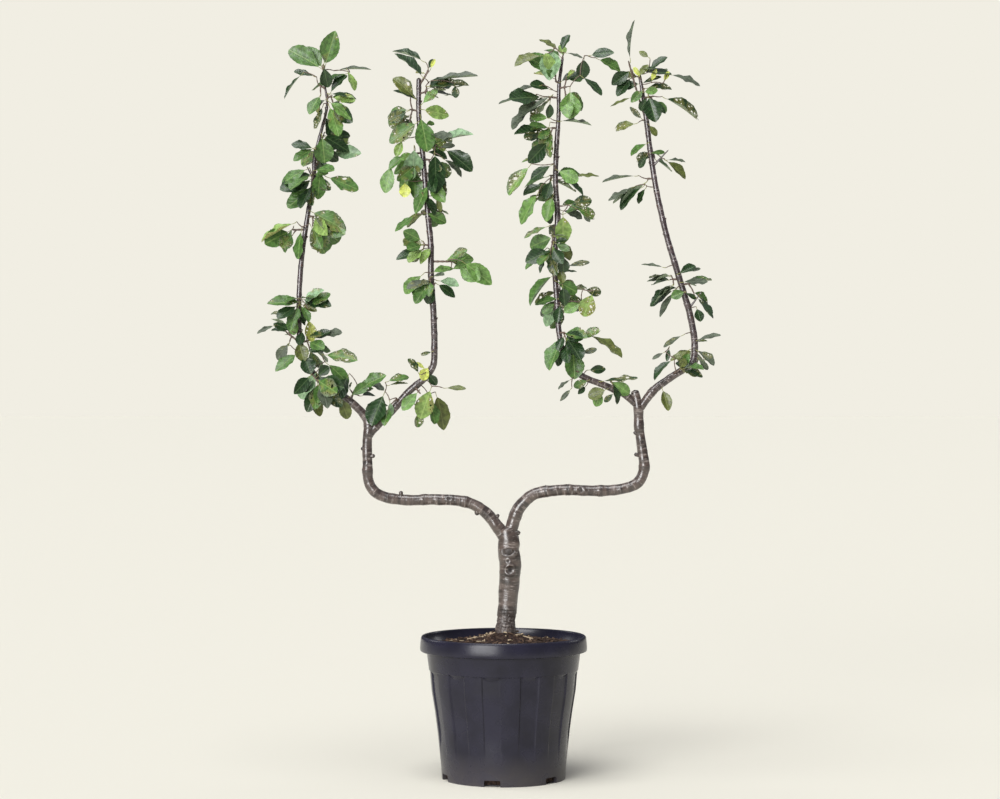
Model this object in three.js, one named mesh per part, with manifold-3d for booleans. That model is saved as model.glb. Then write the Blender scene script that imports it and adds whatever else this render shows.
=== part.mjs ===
// A potted Victoria plum trained as a double U: a short trunk, two arms that run out level and turn up,
// and four upright cordons carrying leafy spurs, in a round fluted nursery container.
// Units are millimetres and +Z is up. The origin is the centre of the container's flat underside,
// the front of the plant faces -Y and +X is to its right.

import * as THREE from 'three';
import { mergeVertices } from 'three/addons/utils/BufferGeometryUtils.js';
import Module from 'manifold-3d';

const wasm = await Module();
wasm.setup();

// Clearance between pieces that touch on the real plant
const CLEARANCE = 0.3;

// Container: its rim, its wall and its floor
const POT_HEIGHT = 264;
const POT_FOOT_RADIUS = 114.5;
const POT_RIM_RADIUS = 155;
const POT_LIP_RADIUS = 147;
const POT_BAND_BOTTOM = 237;
const POT_WALL = 2.6;
const POT_FLOOR = 3;
const RIM_DRAFT = 2;
const RIM_ROUND = 4;
const RIM_TOP_INSET = 2.5;

// Container: the flutes, every other one of its panels, and where they start and end
const POT_PANELS = 24;
const FLUTE_PHASE = -9.5;
const FLUTE_DEPTH = 2.4;
const FLUTE_HALF_SHARE = 0.2;
const FLUTE_BOTTOM = 42;
const FLUTE_FADE = 22;
const FLUTE_TOP = 198;
const FLUTE_SHOULDER = 6;

// Container: the outer wall's radius at each height, before the flutes
const POT_WALL_RADII = [
  [0, POT_FOOT_RADIUS], [24, 116], [51, 119], [89, 124], [126, 129], [163, 135], [FLUTE_TOP, 138],
  [POT_BAND_BOTTOM - 1, 143],
];

// Container: the drainage notches around its foot
const NOTCH_COUNT = 6;
const NOTCH_PHASE = -10.5;
const NOTCH_WIDTH = 30;
const NOTCH_HEIGHT = 12;
const NOTCH_DEPTH = 24;

// Compost: its radius and height at the wall, on its slope and at the flat spot that the trunk stands on
const SOIL_EDGE = 248;
const SOIL_SLOPE = [[90, 251], [50, 253]];
const SOIL_TOP = 256;
const SOIL_SPOT_RADIUS = 24;
const SOIL_SIDES = 24;

// Stations of each run of wood from its foot to its tip: x, y, z, diameter.
const TRUNK = [
  [4.5, 0, 246, 39], [4, 0, 274, 35.5], [5.4, 0, 293, 33], [8.2, 0, 330, 35], [10.6, 0, 367, 38],
  [11.9, 0, 395, 39], [9.1, 0, 423, 37.5], [9.5, 0, 445, 37], [5, 0, 466, 30],
];
const LEFT_ARM = [
  [6, 0, 440, 26], [-12, 0, 467, 23], [-30, 0, 489, 21], [-62, 1, 509, 20], [-118, 2, 516.5, 20],
  [-174, 2, 515, 19.5], [-211, 1, 519, 19.5], [-239, 0, 530, 20], [-250.5, 0, 549, 19],
  [-253, 0, 590, 18], [-253, 0, 627, 18.5], [-251, 0, 658, 18], [-264, -1, 679, 15],
  [-300, -3, 710, 13.5], [-341, -4, 738, 12.5], [-367, -4, 772, 11.5], [-378, -2, 815, 10.5],
  [-380, 0, 877, 9.8], [-376, 3, 955, 9.3], [-366, 6, 1033, 9], [-353, 7, 1113, 8.2],
  [-351, 7, 1152, 8], [-341, 6, 1193, 6.2], [-328, 4, 1250, 4.6], [-332, 2, 1285, 4], [-335, 0, 1318, 3.4],
];
const LEFT_INNER = [
  [-254, 0, 630, 16], [-243, 1, 645, 15.5], [-209, 3, 679, 14], [-175, 5, 718, 13], [-147, 4, 741, 12.8],
  [-131, 2, 764, 12], [-128.5, 0, 800, 11.8], [-130, -3, 860, 11.5], [-134.5, -4, 925, 11.2],
  [-135, -4, 985, 11], [-141, -2, 1050, 10.4], [-146, 0, 1110, 10], [-150, 2, 1156, 9.6],
  [-157, 3, 1220, 9.4], [-157.5, 3, 1300, 9],
];
const RIGHT_ARM = [
  [10, 0, 448, 26], [20, 0, 480, 23], [30, 0, 502, 23], [55, 0, 525.5, 21], [105, -1, 533.5, 20],
  [180, -2, 532.5, 19.8], [225, -1, 537, 19.5], [250, 0, 549, 20.5], [260.5, 0, 572, 19.5],
  [257, 0, 610, 18.5], [251, 0, 655, 18], [249.5, 0, 690, 17.5], [242.5, 0, 720, 14],
];
const RIGHT_INNER = [
  [250, 0, 690, 15], [222, -1, 713, 13], [180, -3, 731, 12], [143, -4, 747, 11.5], [113, -3, 783, 10.8],
  [103.5, -1, 822, 10.2], [99, 2, 887, 10.2], [95, 4, 955, 10.2], [100, 5, 1040, 10.2],
  [96.5, 4, 1111, 9.4], [99, 3, 1182, 9.2], [102, 1, 1225, 7.6], [103, 0, 1285, 6.6], [109.5, 0, 1336, 5],
];
const RIGHT_OUTER = [
  [252, 0, 684, 15.5], [276, 0, 716, 15], [303, 1, 738, 13.5], [332, 2, 757, 13.2], [351, 2, 772, 13],
  [355, 1, 800, 12.5], [347, -1, 855, 12], [325, -3, 930, 11.6], [304, -4, 1000, 11], [286, -3, 1077, 10.4],
  [275, 0, 1143, 10], [266, 2, 1215, 9.6], [257, 1, 1278, 7], [252, 0, 1306, 5],
];

// Where the bent runs are split, as heights: level stretch, riser, sloping foot, upright.
const LEFT_ARM_BEND = 545;
const LEFT_ARM_FORK = 658;
const LEFT_OUTER_BEND = 790;
const LEFT_INNER_BEND = 768;
const RIGHT_ARM_BEND = 562;
const RIGHT_INNER_BEND = 790;
const RIGHT_OUTER_BEND = 778;

// Pruning stubs, knobs and bare thorny twigs: the limb, where on its axis, its direction seen from the front
// (0 right, 90 up), how far it turns to the front, its length from the axis, and its root and tip diameters
const SNAGS = [
  { limb: 'trunk', x: 9, z: 454, angle: 2, front: 10, length: 23, root: 13, tip: 8 },
  { limb: 'trunk', x: 10, z: 421, angle: 180, front: 86, length: 21.5, root: 26, tip: 15 },
  { limb: 'arm_left_level', x: -18, z: 474, angle: 60, front: 0, length: 18, root: 9, tip: 6 },
  { limb: 'arm_left_level', x: -47, z: 500, angle: 255, front: 15, length: 14, root: 13, tip: 8 },
  { limb: 'arm_left_level', x: -190, z: 516, angle: 92, front: 10, length: 17, root: 9, tip: 7 },
  { limb: 'arm_left_riser', x: -253, z: 595, angle: 12, front: 20, length: 16, root: 9, tip: 7 },
  { limb: 'arm_left_riser', x: -253, z: 610, angle: 175, front: 20, length: 13, root: 10, tip: 6 },
  { limb: 'arm_right_level', x: 79, z: 530, angle: 95, front: 10, length: 13.5, root: 11, tip: 7 },
  { limb: 'arm_right_level', x: 142, z: 533, angle: 100, front: 70, length: 13, root: 15, tip: 9 },
  { limb: 'arm_right_riser', x: 259, z: 598, angle: 172, front: 15, length: 18, root: 9, tip: 7 },
  { limb: 'arm_right_riser', x: 254, z: 638, angle: 168, front: 10, length: 14, root: 10, tip: 6 },
  { limb: 'left_outer_upright', x: -354, z: 1112, angle: 116, front: 5, length: 25, root: 3.6, tip: 2 },
  { limb: 'left_outer_upright', x: -354, z: 1109, angle: 40, front: -12, length: 32, root: 3.6, tip: 1.8 },
  { limb: 'right_outer_upright', x: 342, z: 868, angle: 53, front: 8, length: 44, root: 4.2, tip: 2 },
  { limb: 'right_outer_upright', x: 276, z: 1134, angle: 46, front: 14, length: 44, root: 4.2, tip: 2 },
];

// How finely the wood is faceted
const TRUNK_SIDES = 12;
const ARM_SIDES = 10;
const CORDON_SIDES = 8;
const SNAG_SIDES = 6;
const RING_STEP = 42;

// The leafy spurs of each cordon. Azimuths are plan angles: 0 right, 90 back, 180 left, 270 front. The fan
// is the range of leaf directions seen from the front: 0 right, 90 up, 180 left, 270 or -90 down.
// name, height on the wood, azimuth, rise, stem length, reach of its side twigs along the wood, fan from,
// fan to, leaves, leaf length, how far the leaves face the front (0 lies level, 1 faces it)
const LEFT_OUTER_SPURS = [
  ['tip', 1318, 90, 90, 6, 0, 14, 172, 7, 52, 0.55],
  ['upper_left', 1280, 200, 25, 12, 26, 188, 262, 6, 46, 0.35],
  ['upper_right', 1262, 340, 20, 10, 30, -84, 8, 6, 46, 0.7],
  ['high', 1184, 60, 10, 10, 28, 170, 384, 9, 50, 0.75],
  ['middle', 1120, 265, 0, 10, 20, 180, 384, 7, 58, 0.75],
  ['lower_right', 1042, 335, 0, 10, 22, -82, -22, 5, 58, 0.8],
  ['lower_left', 1018, 165, 0, 22, 14, 205, 248, 5, 50, 0.5],
  ['low', 886, 280, 15, 10, 14, 176, 394, 7, 54, 0.45],
  ['bottom_left', 806, 160, 35, 28, 20, 140, 246, 6, 38, 0.25],
  ['bottom_right', 808, 345, 10, 12, 30, -84, 12, 7, 48, 0.6],
  ['foot_outer', 752, 270, -10, 14, 34, 222, 352, 8, 50, 0.8],
  ['foot_inner', 698, 70, 50, 20, 18, 0, 74, 5, 38, 0.5],
];
const LEFT_INNER_SPURS = [
  ['tip', 1284, 5, 58, 28, 4, 62, 178, 6, 54, 0.4],
  ['upper_right', 1270, 350, 12, 12, 12, -14, 42, 5, 66, 0.2],
  ['upper_left', 1238, 185, 10, 12, 34, 150, 252, 8, 48, 0.65],
  ['high_right', 1212, 12, 5, 10, 24, -64, 20, 6, 54, 0.55],
  ['middle_left', 1160, 205, -5, 12, 32, 188, 282, 7, 48, 0.8],
  ['middle_right', 1148, 338, -5, 10, 28, -88, -16, 5, 58, 0.75],
  ['middle', 1064, 95, 0, 10, 16, 204, 354, 6, 44, 0.5],
  ['low_left', 988, 190, 5, 10, 14, 150, 238, 5, 42, 0.7],
  ['low_right', 958, 5, 0, 42, 0, -42, 22, 5, 48, 0.65],
  ['low', 926, 265, 0, 10, 8, 194, 356, 7, 44, 0.5],
  ['foot_right', 726, 300, -30, 20, 16, 222, 358, 7, 56, 0.8],
  ['foot_left', 697, 250, 25, 12, 28, 80, 264, 8, 40, 0.65],
];
const RIGHT_INNER_SPURS = [
  ['tip', 1334, 90, 90, 6, 0, -18, 200, 7, 40, 0.45],
  ['upper_left', 1290, 205, 15, 6, 16, 106, 182, 5, 52, 0.8],
  ['upper_right', 1280, 335, 5, 12, 28, -86, 36, 8, 46, 0.6],
  ['high_left', 1262, 185, 5, 18, 10, 182, 232, 6, 58, 0.15],
  ['middle_left', 1206, 200, 0, 10, 22, 166, 268, 7, 50, 0.65],
  ['middle', 1118, 130, 5, 12, 30, 186, 400, 9, 54, 0.65],
  ['lower', 1056, 70, 0, 10, 20, 236, 394, 7, 48, 0.7],
  ['low_middle', 994, 240, 0, 12, 26, 196, 376, 8, 42, 0.55],
  ['low', 904, 60, 5, 14, 24, 190, 382, 8, 48, 0.6],
  ['bottom', 826, 300, 0, 16, 14, 232, 372, 6, 60, 0.6],
  ['foot_outer', 757, 290, -10, 14, 26, 212, 422, 10, 44, 0.75],
  ['foot_inner', 723, 280, 10, 12, 22, 234, 376, 8, 42, 0.65],
];
const RIGHT_OUTER_SPURS = [
  ['tip', 1306, 90, 90, 6, 0, -16, 96, 6, 50, 0.45],
  ['side_shoot', 1216, 181, 73.5, 114, 0, 86, 206, 9, 58, 0.5],
  ['upper_right', 1262, 330, 5, 18, 14, -100, -8, 6, 62, 0.6],
  ['high', 1160, 60, 10, 12, 26, 196, 432, 9, 40, 0.45],
  ['middle', 1112, 180, 0, 10, 8, 183, 228, 6, 60, 0.15],
  ['low_left', 925, 180, 0, 10, 24, 176, 240, 7, 44, 0.15],
  ['low_right', 915, 0, 8, 12, 22, -60, 30, 7, 44, 0.3],
  ['bottom', 804, 90, 0, 10, 16, 202, 376, 8, 40, 0.45],
  ['foot', 746, 285, 25, 12, 22, -130, 94, 9, 38, 0.55],
];

// Twigs: their diameters, where the side twigs leave the stem, and the stretch of it that bears leaves
const TWIG_DIAMETER = 4.2;
const SIDE_TWIG_DIAMETER = 3;
const TWIG_TAPER = 0.8;
const TWIG_FORK = 0.4;
const TIP_ROOT_DEPTH = 3;
const LEAFY_SHARE = 0.8;
const LEAFY_MOST = 60;
const SIDE_TWIG_SHARE = 0.25;

// A leaf's section: where along its blade, its share of the full width, its keel, its lift and its stalk
const LEAF_SECTIONS = [[0.34, 0.9], [0.72, 0.84]];
const LEAF_KEEL = 0.9;
const LEAF_LIFT = 0.06;
const STALK_DIAMETER = 1.1;

// What a leaf draws between: degrees from the fan's plane, shares of its length, turns of its face
const LEAF_TILT = [8, 46];
const LEAF_LENGTHS = [0.85, 1.15];
const LEAF_WIDTHS = [0.51, 0.69];
const LEAF_STALKS = [0.16, 0.26];
const LEAF_CURLS = [0.04, 0.16];
const FACING_CHANGE = [-0.25, 0.25];
const SIDEWAYS_TURN = [-0.6, 0.6];
const PLACE_CHANGE = [-0.35, 0.35];

// Fitting the leaves: the tries, how the draws widen and the leaf shrinks with each, and what it keeps clear
const TRIES = 14;
const FAN_SPREAD = 0.6;
const SPREAD_PER_TRY = 0.15;
const SHRINK_PER_TRY = 0.035;
const LEAF_MARGIN = 3.5;
const LIMB_MARGIN = 3.4;
const SPACE_MARGIN = 0.5;
const SPACE_SHARE = 0.6;
const SPACE_PROBES = [0.17, 0.5, 0.83];
const PROBE_REACH = 0.2;

// The points of a blade that are tested
const BLADE_STEPS = 6;
const BLADE_SHARES = [-1, -0.5, 0, 0.5, 1];

// Short leftover edges below this length are taken out of a finished solid
const SHORTEST_EDGE = 0.1;

// Colours and finishes
const finish = (color, roughness) => new THREE.MeshStandardMaterial({ color, roughness, metalness: 0 });
const CONTAINER = finish(0x3d3c45, 0.5);
const COMPOST = finish(0x2a2019, 0.95);
const OLD_BARK = finish(0x8a7d78, 0.55);
const YOUNG_BARK = finish(0x5b474c, 0.45);
const FOLIAGE = finish(0x4f7a35, 0.5);

const UP = new THREE.Vector3(0, 0, 1);
const FRONT = new THREE.Vector3(0, -1, 0);
const RIGHT = new THREE.Vector3(1, 0, 0);
const radians = THREE.MathUtils.degToRad;
const { clamp, lerp } = THREE.MathUtils;

// A closed geometry as a solid
function solidOf(geometry) {
  const bare = geometry.clone();
  bare.deleteAttribute('normal');
  bare.deleteAttribute('uv');
  const merged = mergeVertices(bare, 1e-4);
  return new wasm.Manifold(new wasm.Mesh({
    numProp: 3,
    vertProperties: new Float32Array(merged.attributes.position.array),
    triVerts: new Uint32Array(merged.index.array),
  }));
}

// A solid as a geometry
function geometryOf(solid) {
  const { vertProperties, triVerts } = solid.getMesh();
  const geometry = new THREE.BufferGeometry();
  geometry.setAttribute('position', new THREE.BufferAttribute(vertProperties, 3));
  geometry.setIndex(new THREE.BufferAttribute(triVerts, 1));
  geometry.computeVertexNormals();
  return geometry;
}

// The largest connected body of a solid, with its short leftover edges taken out
function mainBody(solid) {
  const bodies = solid.simplify(SHORTEST_EDGE).decompose();
  return bodies.reduce((best, body) => (body.volume() > best.volume() ? body : best));
}

// Random numbers from 0 to 1 that are the same on every run
function seeded(seed) {
  let state = seed;
  return () => {
    state = (state * 1664525 + 1013904223) % 4294967296;
    return state / 4294967296;
  };
}

// A draw between two values
const between = (random, [low, high]) => lerp(low, high, random());

// The direction seen at an angle from the front, turned so far towards the front
function seenFromFront(angle, front) {
  const turn = radians(angle);
  const flat = new THREE.Vector3(Math.cos(turn), 0, Math.sin(turn));
  return flat.multiplyScalar(Math.cos(radians(front))).addScaledVector(FRONT, Math.sin(radians(front)));
}

// A run of wood: points along a smooth path through its stations, each with its direction, its radius and
// its distance from the foot.
class Run {
  static DIVISIONS = 10;

  constructor(stations) {
    const curve = new THREE.CatmullRomCurve3(
      stations.map(([x, y, z]) => new THREE.Vector3(x, y, z)), false, 'centripetal');
    const spans = stations.length - 1;
    const count = spans * Run.DIVISIONS;
    this.points = [];
    let travelled = 0;
    for (let i = 0; i <= count; i += 1) {
      const span = Math.min(Math.floor(i / Run.DIVISIONS), spans - 1);
      const share = i / Run.DIVISIONS - span;
      const place = curve.getPoint(i / count);
      if (i > 0) travelled += place.distanceTo(this.points[i - 1].place);
      this.points.push({
        place,
        travelled,
        direction: curve.getTangent(i / count),
        radius: lerp(stations[span][3], stations[span + 1][3], share) / 2,
      });
    }
    this.length = travelled;
  }

  // The point a given distance from the foot
  at(distance) {
    const last = this.points.length - 1;
    let i = 0;
    while (i < last - 1 && this.points[i + 1].travelled < distance) i += 1;
    const [a, b] = [this.points[i], this.points[i + 1]];
    const share = (distance - a.travelled) / (b.travelled - a.travelled);
    return {
      place: a.place.clone().lerp(b.place, share),
      direction: a.direction.clone().lerp(b.direction, THREE.MathUtils.clamp(share, 0, 1)).normalize(),
      radius: lerp(a.radius, b.radius, THREE.MathUtils.clamp(share, 0, 1)),
    };
  }

  // The distance from the foot at which the run first reaches a height
  distanceAt(height) {
    const i = this.points.findIndex(({ place }) => place.z >= height);
    if (i < 0) return this.length;
    if (i === 0) return 0;
    const [a, b] = [this.points[i - 1], this.points[i]];
    return lerp(a.travelled, b.travelled, (height - a.place.z) / (b.place.z - a.place.z));
  }
}

// The wood of a run between two distances from its foot, as a solid, larger all round by `extra`
function wood(run, from, to, sides, extra = 0) {
  const rings = Math.max(2, Math.round((to - from) / RING_STEP));
  const geometry = new THREE.CylinderGeometry(1, 1, 1, sides, rings);
  const position = geometry.attributes.position;
  const vertex = new THREE.Vector3();
  for (let i = 0; i < position.count; i += 1) {
    vertex.fromBufferAttribute(position, i);
    const distance = lerp(from - extra, to + extra, vertex.y + 0.5);
    const { place, direction, radius } = run.at(distance);
    const side = new THREE.Vector3().crossVectors(direction, FRONT).normalize();
    const depth = new THREE.Vector3().crossVectors(side, direction);
    place.addScaledVector(side, vertex.x * (radius + extra));
    place.addScaledVector(depth, vertex.z * (radius + extra));
    position.setXYZ(i, place.x, place.y, place.z);
  }
  return solidOf(geometry);
}

// A snag's two ends
function snagEnds({ x, z, angle, front, length }) {
  const from = new THREE.Vector3(x, 0, z);
  return [from, from.clone().addScaledVector(seenFromFront(angle, front), length)];
}

// A snag as a solid, larger all round by `extra`
function snagSolid(snag, extra = 0) {
  const [from, to] = snagEnds(snag);
  const long = snag.length + extra * 2;
  const geometry = new THREE.CylinderGeometry(snag.tip / 2 + extra, snag.root / 2 + extra, long, SNAG_SIDES);
  const direction = to.clone().sub(from).normalize();
  geometry.applyQuaternion(new THREE.Quaternion().setFromUnitVectors(new THREE.Vector3(0, 1, 0), direction));
  const middle = from.lerp(to, 0.5);
  geometry.translate(middle.x, middle.y, middle.z);
  return solidOf(geometry);
}

// Runs, and the distances at which they are split
const trunkRun = new Run(TRUNK);
const leftRun = new Run(LEFT_ARM);
const leftInnerRun = new Run(LEFT_INNER);
const rightRun = new Run(RIGHT_ARM);
const rightInnerRun = new Run(RIGHT_INNER);
const rightOuterRun = new Run(RIGHT_OUTER);

// Limbs in the order they are made: each is cut clear of the earlier ones it names.
const LIMBS = [
  { name: 'trunk', run: trunkRun, sides: TRUNK_SIDES, bark: OLD_BARK, cutBy: [] },
  { name: 'arm_left_level', run: leftRun, toHeight: LEFT_ARM_BEND, sides: ARM_SIDES, bark: OLD_BARK,
    cutBy: ['trunk'] },
  { name: 'arm_left_riser', run: leftRun, fromHeight: LEFT_ARM_BEND, toHeight: LEFT_ARM_FORK,
    sides: ARM_SIDES, bark: OLD_BARK, cutBy: [] },
  { name: 'arm_right_level', run: rightRun, toHeight: RIGHT_ARM_BEND, sides: ARM_SIDES, bark: OLD_BARK,
    cutBy: ['trunk', 'arm_left_level'] },
  { name: 'arm_right_riser', run: rightRun, fromHeight: RIGHT_ARM_BEND, sides: ARM_SIDES, bark: OLD_BARK,
    cutBy: [] },
  { name: 'left_outer_foot', run: leftRun, fromHeight: LEFT_ARM_FORK, toHeight: LEFT_OUTER_BEND,
    sides: CORDON_SIDES, bark: YOUNG_BARK, cutBy: [] },
  { name: 'left_outer_upright', run: leftRun, fromHeight: LEFT_OUTER_BEND, sides: CORDON_SIDES,
    bark: YOUNG_BARK, cutBy: [] },
  { name: 'left_inner_foot', run: leftInnerRun, toHeight: LEFT_INNER_BEND, sides: CORDON_SIDES,
    bark: YOUNG_BARK, cutBy: ['arm_left_riser', 'left_outer_foot'] },
  { name: 'left_inner_upright', run: leftInnerRun, fromHeight: LEFT_INNER_BEND, sides: CORDON_SIDES,
    bark: YOUNG_BARK, cutBy: [] },
  { name: 'right_inner_foot', run: rightInnerRun, toHeight: RIGHT_INNER_BEND, sides: CORDON_SIDES,
    bark: YOUNG_BARK, cutBy: ['arm_right_riser'] },
  { name: 'right_inner_upright', run: rightInnerRun, fromHeight: RIGHT_INNER_BEND, sides: CORDON_SIDES,
    bark: YOUNG_BARK, cutBy: [] },
  { name: 'right_outer_foot', run: rightOuterRun, toHeight: RIGHT_OUTER_BEND, sides: CORDON_SIDES,
    bark: YOUNG_BARK, cutBy: ['arm_right_riser', 'right_inner_foot'] },
  { name: 'right_outer_upright', run: rightOuterRun, fromHeight: RIGHT_OUTER_BEND, sides: CORDON_SIDES,
    bark: YOUNG_BARK, cutBy: [] },
];

// The space below the level at which the trunk is cut flat
function ground() {
  const size = POT_RIM_RADIUS;
  return solidOf(new THREE.BoxGeometry(size, size, size).translate(0, 0, SOIL_TOP + CLEARANCE - size / 2));
}

// Cuts the limbs, each from its run, and returns them by name with the swollen form that cuts its neighbours
function makeLimbs() {
  const made = new Map();
  for (const { name, run, fromHeight, toHeight, sides, bark, cutBy } of LIMBS) {
    const from = fromHeight === undefined ? 0 : run.distanceAt(fromHeight) + CLEARANCE / 2;
    const to = toHeight === undefined ? run.length : run.distanceAt(toHeight) - CLEARANCE / 2;
    const snags = SNAGS.filter(({ limb }) => limb === name);
    let solid = snags.reduce((whole, snag) => whole.add(snagSolid(snag)), wood(run, from, to, sides));
    if (name === 'trunk') solid = solid.subtract(ground());
    for (const other of cutBy) solid = solid.subtract(made.get(other).swollen);
    const swollen = snags.reduce(
      (whole, snag) => whole.add(snagSolid(snag, CLEARANCE)), wood(run, from, to, sides, CLEARANCE));
    made.set(name, { solid: mainBody(solid), swollen, bark });
  }
  return made;
}

// Where a spur starts, how its stem runs, its side twigs and the middle of its own space
function placeSpur(run, row, seed) {
  const [name, height, azimuth, rise, stem, reach, fanFrom, fanTo, leaves, leafLength, facing] = row;
  const { place, direction, radius } = run.at(run.distanceAt(height));
  const outward = new THREE.Vector3(
    Math.cos(radians(azimuth)) * Math.cos(radians(rise)),
    Math.sin(radians(azimuth)) * Math.cos(radians(rise)),
    Math.sin(radians(rise)));
  const atTip = rise === 90;
  const axis = atTip ? direction : outward;
  const tip = place.clone().addScaledVector(axis, (atTip ? 0 : radius) + stem);
  const middle = tip.clone();
  for (const share of SPACE_PROBES) {
    middle.addScaledVector(seenFromFront(lerp(fanFrom, fanTo, share), 0), leafLength * PROBE_REACH);
  }
  const fork = tip.clone().addScaledVector(axis, -stem * TWIG_FORK);
  const twigs = reach === 0 ? [] : [1, -1].map((way) => (
    { way, from: fork, to: tip.clone().addScaledVector(direction, way * reach) }));
  const start = place.clone().addScaledVector(axis, atTip ? -TIP_ROOT_DEPTH : radius / 2);
  return { name, start, axis, along: direction, tip, stem, twigs, fanFrom, fanTo, leaves, leafLength, facing,
    middle, seed };
}

// True where a point lies in a spur's own space, clear of every other spur's
function inOwnSpace(point, spur, spurs) {
  const own = point.distanceToSquared(spur.middle) - (spur.leafLength * SPACE_SHARE) ** 2;
  return spurs.every((other) => {
    if (other === spur) return true;
    const apart = other.middle.distanceTo(spur.middle);
    const theirs = point.distanceToSquared(other.middle) - (other.leafLength * SPACE_SHARE) ** 2;
    return theirs - own > 2 * apart * SPACE_MARGIN;
  });
}

// The places that leaves keep clear of, with the wood's radius there: along each run and each snag
function woodPlaces(runs) {
  const onRuns = runs.flatMap((run) => run.points.map(({ place, radius }) => ({ place, radius })));
  const onSnags = SNAGS.flatMap((snag) => {
    const [from, to] = snagEnds(snag);
    return [0.5, 0.75, 1].map((share) => (
      { place: from.clone().lerp(to, share), radius: lerp(snag.root, snag.tip, share) / 2 }));
  });
  return [...onRuns, ...onSnags];
}

// A tapering three-sided body through sections, ending in a point. A section is a middle, a side direction,
// a normal, half its width, how deep its keel lies and how far its edges lift.
function threeSided(sections, tip) {
  const vertices = [];
  const faces = [];
  for (const { middle, side, normal, half, keel, lift } of sections) {
    for (const [s, n] of [[-half, lift], [half, lift], [0, -keel]]) {
      const vertex = middle.clone().addScaledVector(side, s).addScaledVector(normal, n);
      vertices.push(vertex.x, vertex.y, vertex.z);
    }
  }
  vertices.push(tip.x, tip.y, tip.z);
  faces.push(0, 2, 1);
  for (let ring = 0; ring < sections.length - 1; ring += 1) {
    for (let k = 0; k < 3; k += 1) {
      const [a, b] = [ring * 3 + k, ring * 3 + ((k + 1) % 3)];
      faces.push(a, b, b + 3, a, b + 3, a + 3);
    }
  }
  const last = (sections.length - 1) * 3;
  for (let k = 0; k < 3; k += 1) faces.push(last + k, last + ((k + 1) % 3), last + 3);
  const geometry = new THREE.BufferGeometry();
  geometry.setAttribute('position', new THREE.Float32BufferAttribute(vertices, 3));
  geometry.setIndex(faces);
  return solidOf(geometry);
}

// A twig from one place to another, three-sided and tapering to a short point
function twig(from, to, diameter) {
  const direction = to.clone().sub(from).normalize();
  const guide = Math.abs(direction.z) > 0.9 ? FRONT : UP;
  const side = new THREE.Vector3().crossVectors(direction, guide).normalize();
  const normal = new THREE.Vector3().crossVectors(side, direction);
  const section = (middle, half) => ({ middle, side, normal, half, keel: half, lift: half / 2 });
  const radius = diameter / 2;
  const point = to.clone().addScaledVector(direction, diameter);
  return threeSided([section(from, radius), section(to, radius * TWIG_TAPER)], point);
}

// A leaf's frame: its root, direction, length, width, side and normal, from the spur's fan and its own draws
function drawLeaf(spur, index, attempt, random) {
  const spread = FAN_SPREAD + attempt * SPREAD_PER_TRY;
  const share = (index + 0.5 + (random() - 0.5) * spread) / spur.leaves;
  const towards = Math.abs(spur.axis.y) > 0.5 ? Math.sign(spur.axis.y) : (index % 2) * 2 - 1;
  const tilt = -towards * between(random, LEAF_TILT);
  const direction = seenFromFront(lerp(spur.fanFrom, spur.fanTo, share), tilt);
  const length = spur.leafLength * between(random, LEAF_LENGTHS) * (1 - attempt * SHRINK_PER_TRY);
  const width = length * between(random, LEAF_WIDTHS);
  const facing = clamp(spur.facing + between(random, FACING_CHANGE), 0, 1);
  const guide = UP.clone().multiplyScalar(1 - facing).addScaledVector(FRONT, facing)
    .addScaledVector(RIGHT, between(random, SIDEWAYS_TURN));
  if (Math.abs(guide.dot(direction)) > 0.9 * guide.length()) guide.copy(FRONT);
  const side = new THREE.Vector3().crossVectors(direction, guide).normalize();
  const normal = new THREE.Vector3().crossVectors(side, direction);
  const place = clamp(direction.dot(spur.along) + between(random, PLACE_CHANGE), -1, 1);
  const carrier = spur.twigs.find(({ way }) => way * place > SIDE_TWIG_SHARE);
  const leafy = Math.min(spur.stem * LEAFY_SHARE, LEAFY_MOST);
  const root = carrier ? carrier.from.clone().lerp(carrier.to, Math.abs(place))
    : spur.tip.clone().addScaledVector(spur.axis, -leafy * (index / spur.leaves));
  const stalk = length * between(random, LEAF_STALKS);
  const curl = between(random, LEAF_CURLS);
  return { place, root, direction, length, width, side, normal, stalk, curl };
}

// A place on a leaf's blade: `v` runs from its base to its tip, `w` is the distance from its midrib
function onBlade({ root, direction, length, side, normal, stalk, curl }, v, w) {
  const bow = -curl * length * v * v;
  return root.clone().addScaledVector(direction, stalk + length * v)
    .addScaledVector(side, w).addScaledVector(normal, bow);
}

// Points all over a leaf's blade, row by row from its base
function bladePoints(leaf) {
  const points = [];
  for (let step = 0; step <= BLADE_STEPS; step += 1) {
    const v = step / BLADE_STEPS;
    const half = (leaf.width / 2) * Math.sin(Math.PI * (0.1 + v * 0.9)) ** 0.6;
    for (const share of BLADE_SHARES) points.push(onBlade(leaf, v, share * half));
  }
  return points;
}

// True where a leaf's points keep to its spur's space, clear of the wood and of the leaves already there
function fits(points, spur, spurs, woodiness, grown) {
  const free = (point) => inOwnSpace(point, spur, spurs)
    && woodiness.every(({ place, radius }) => point.distanceTo(place) > radius + LIMB_MARGIN);
  if (!points.every(free)) return false;
  const near = (point, other) => other.body.some((place) => point.distanceTo(place) < LEAF_MARGIN);
  return !points.some((point) => grown.some((other) => near(point, other)));
}

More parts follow.
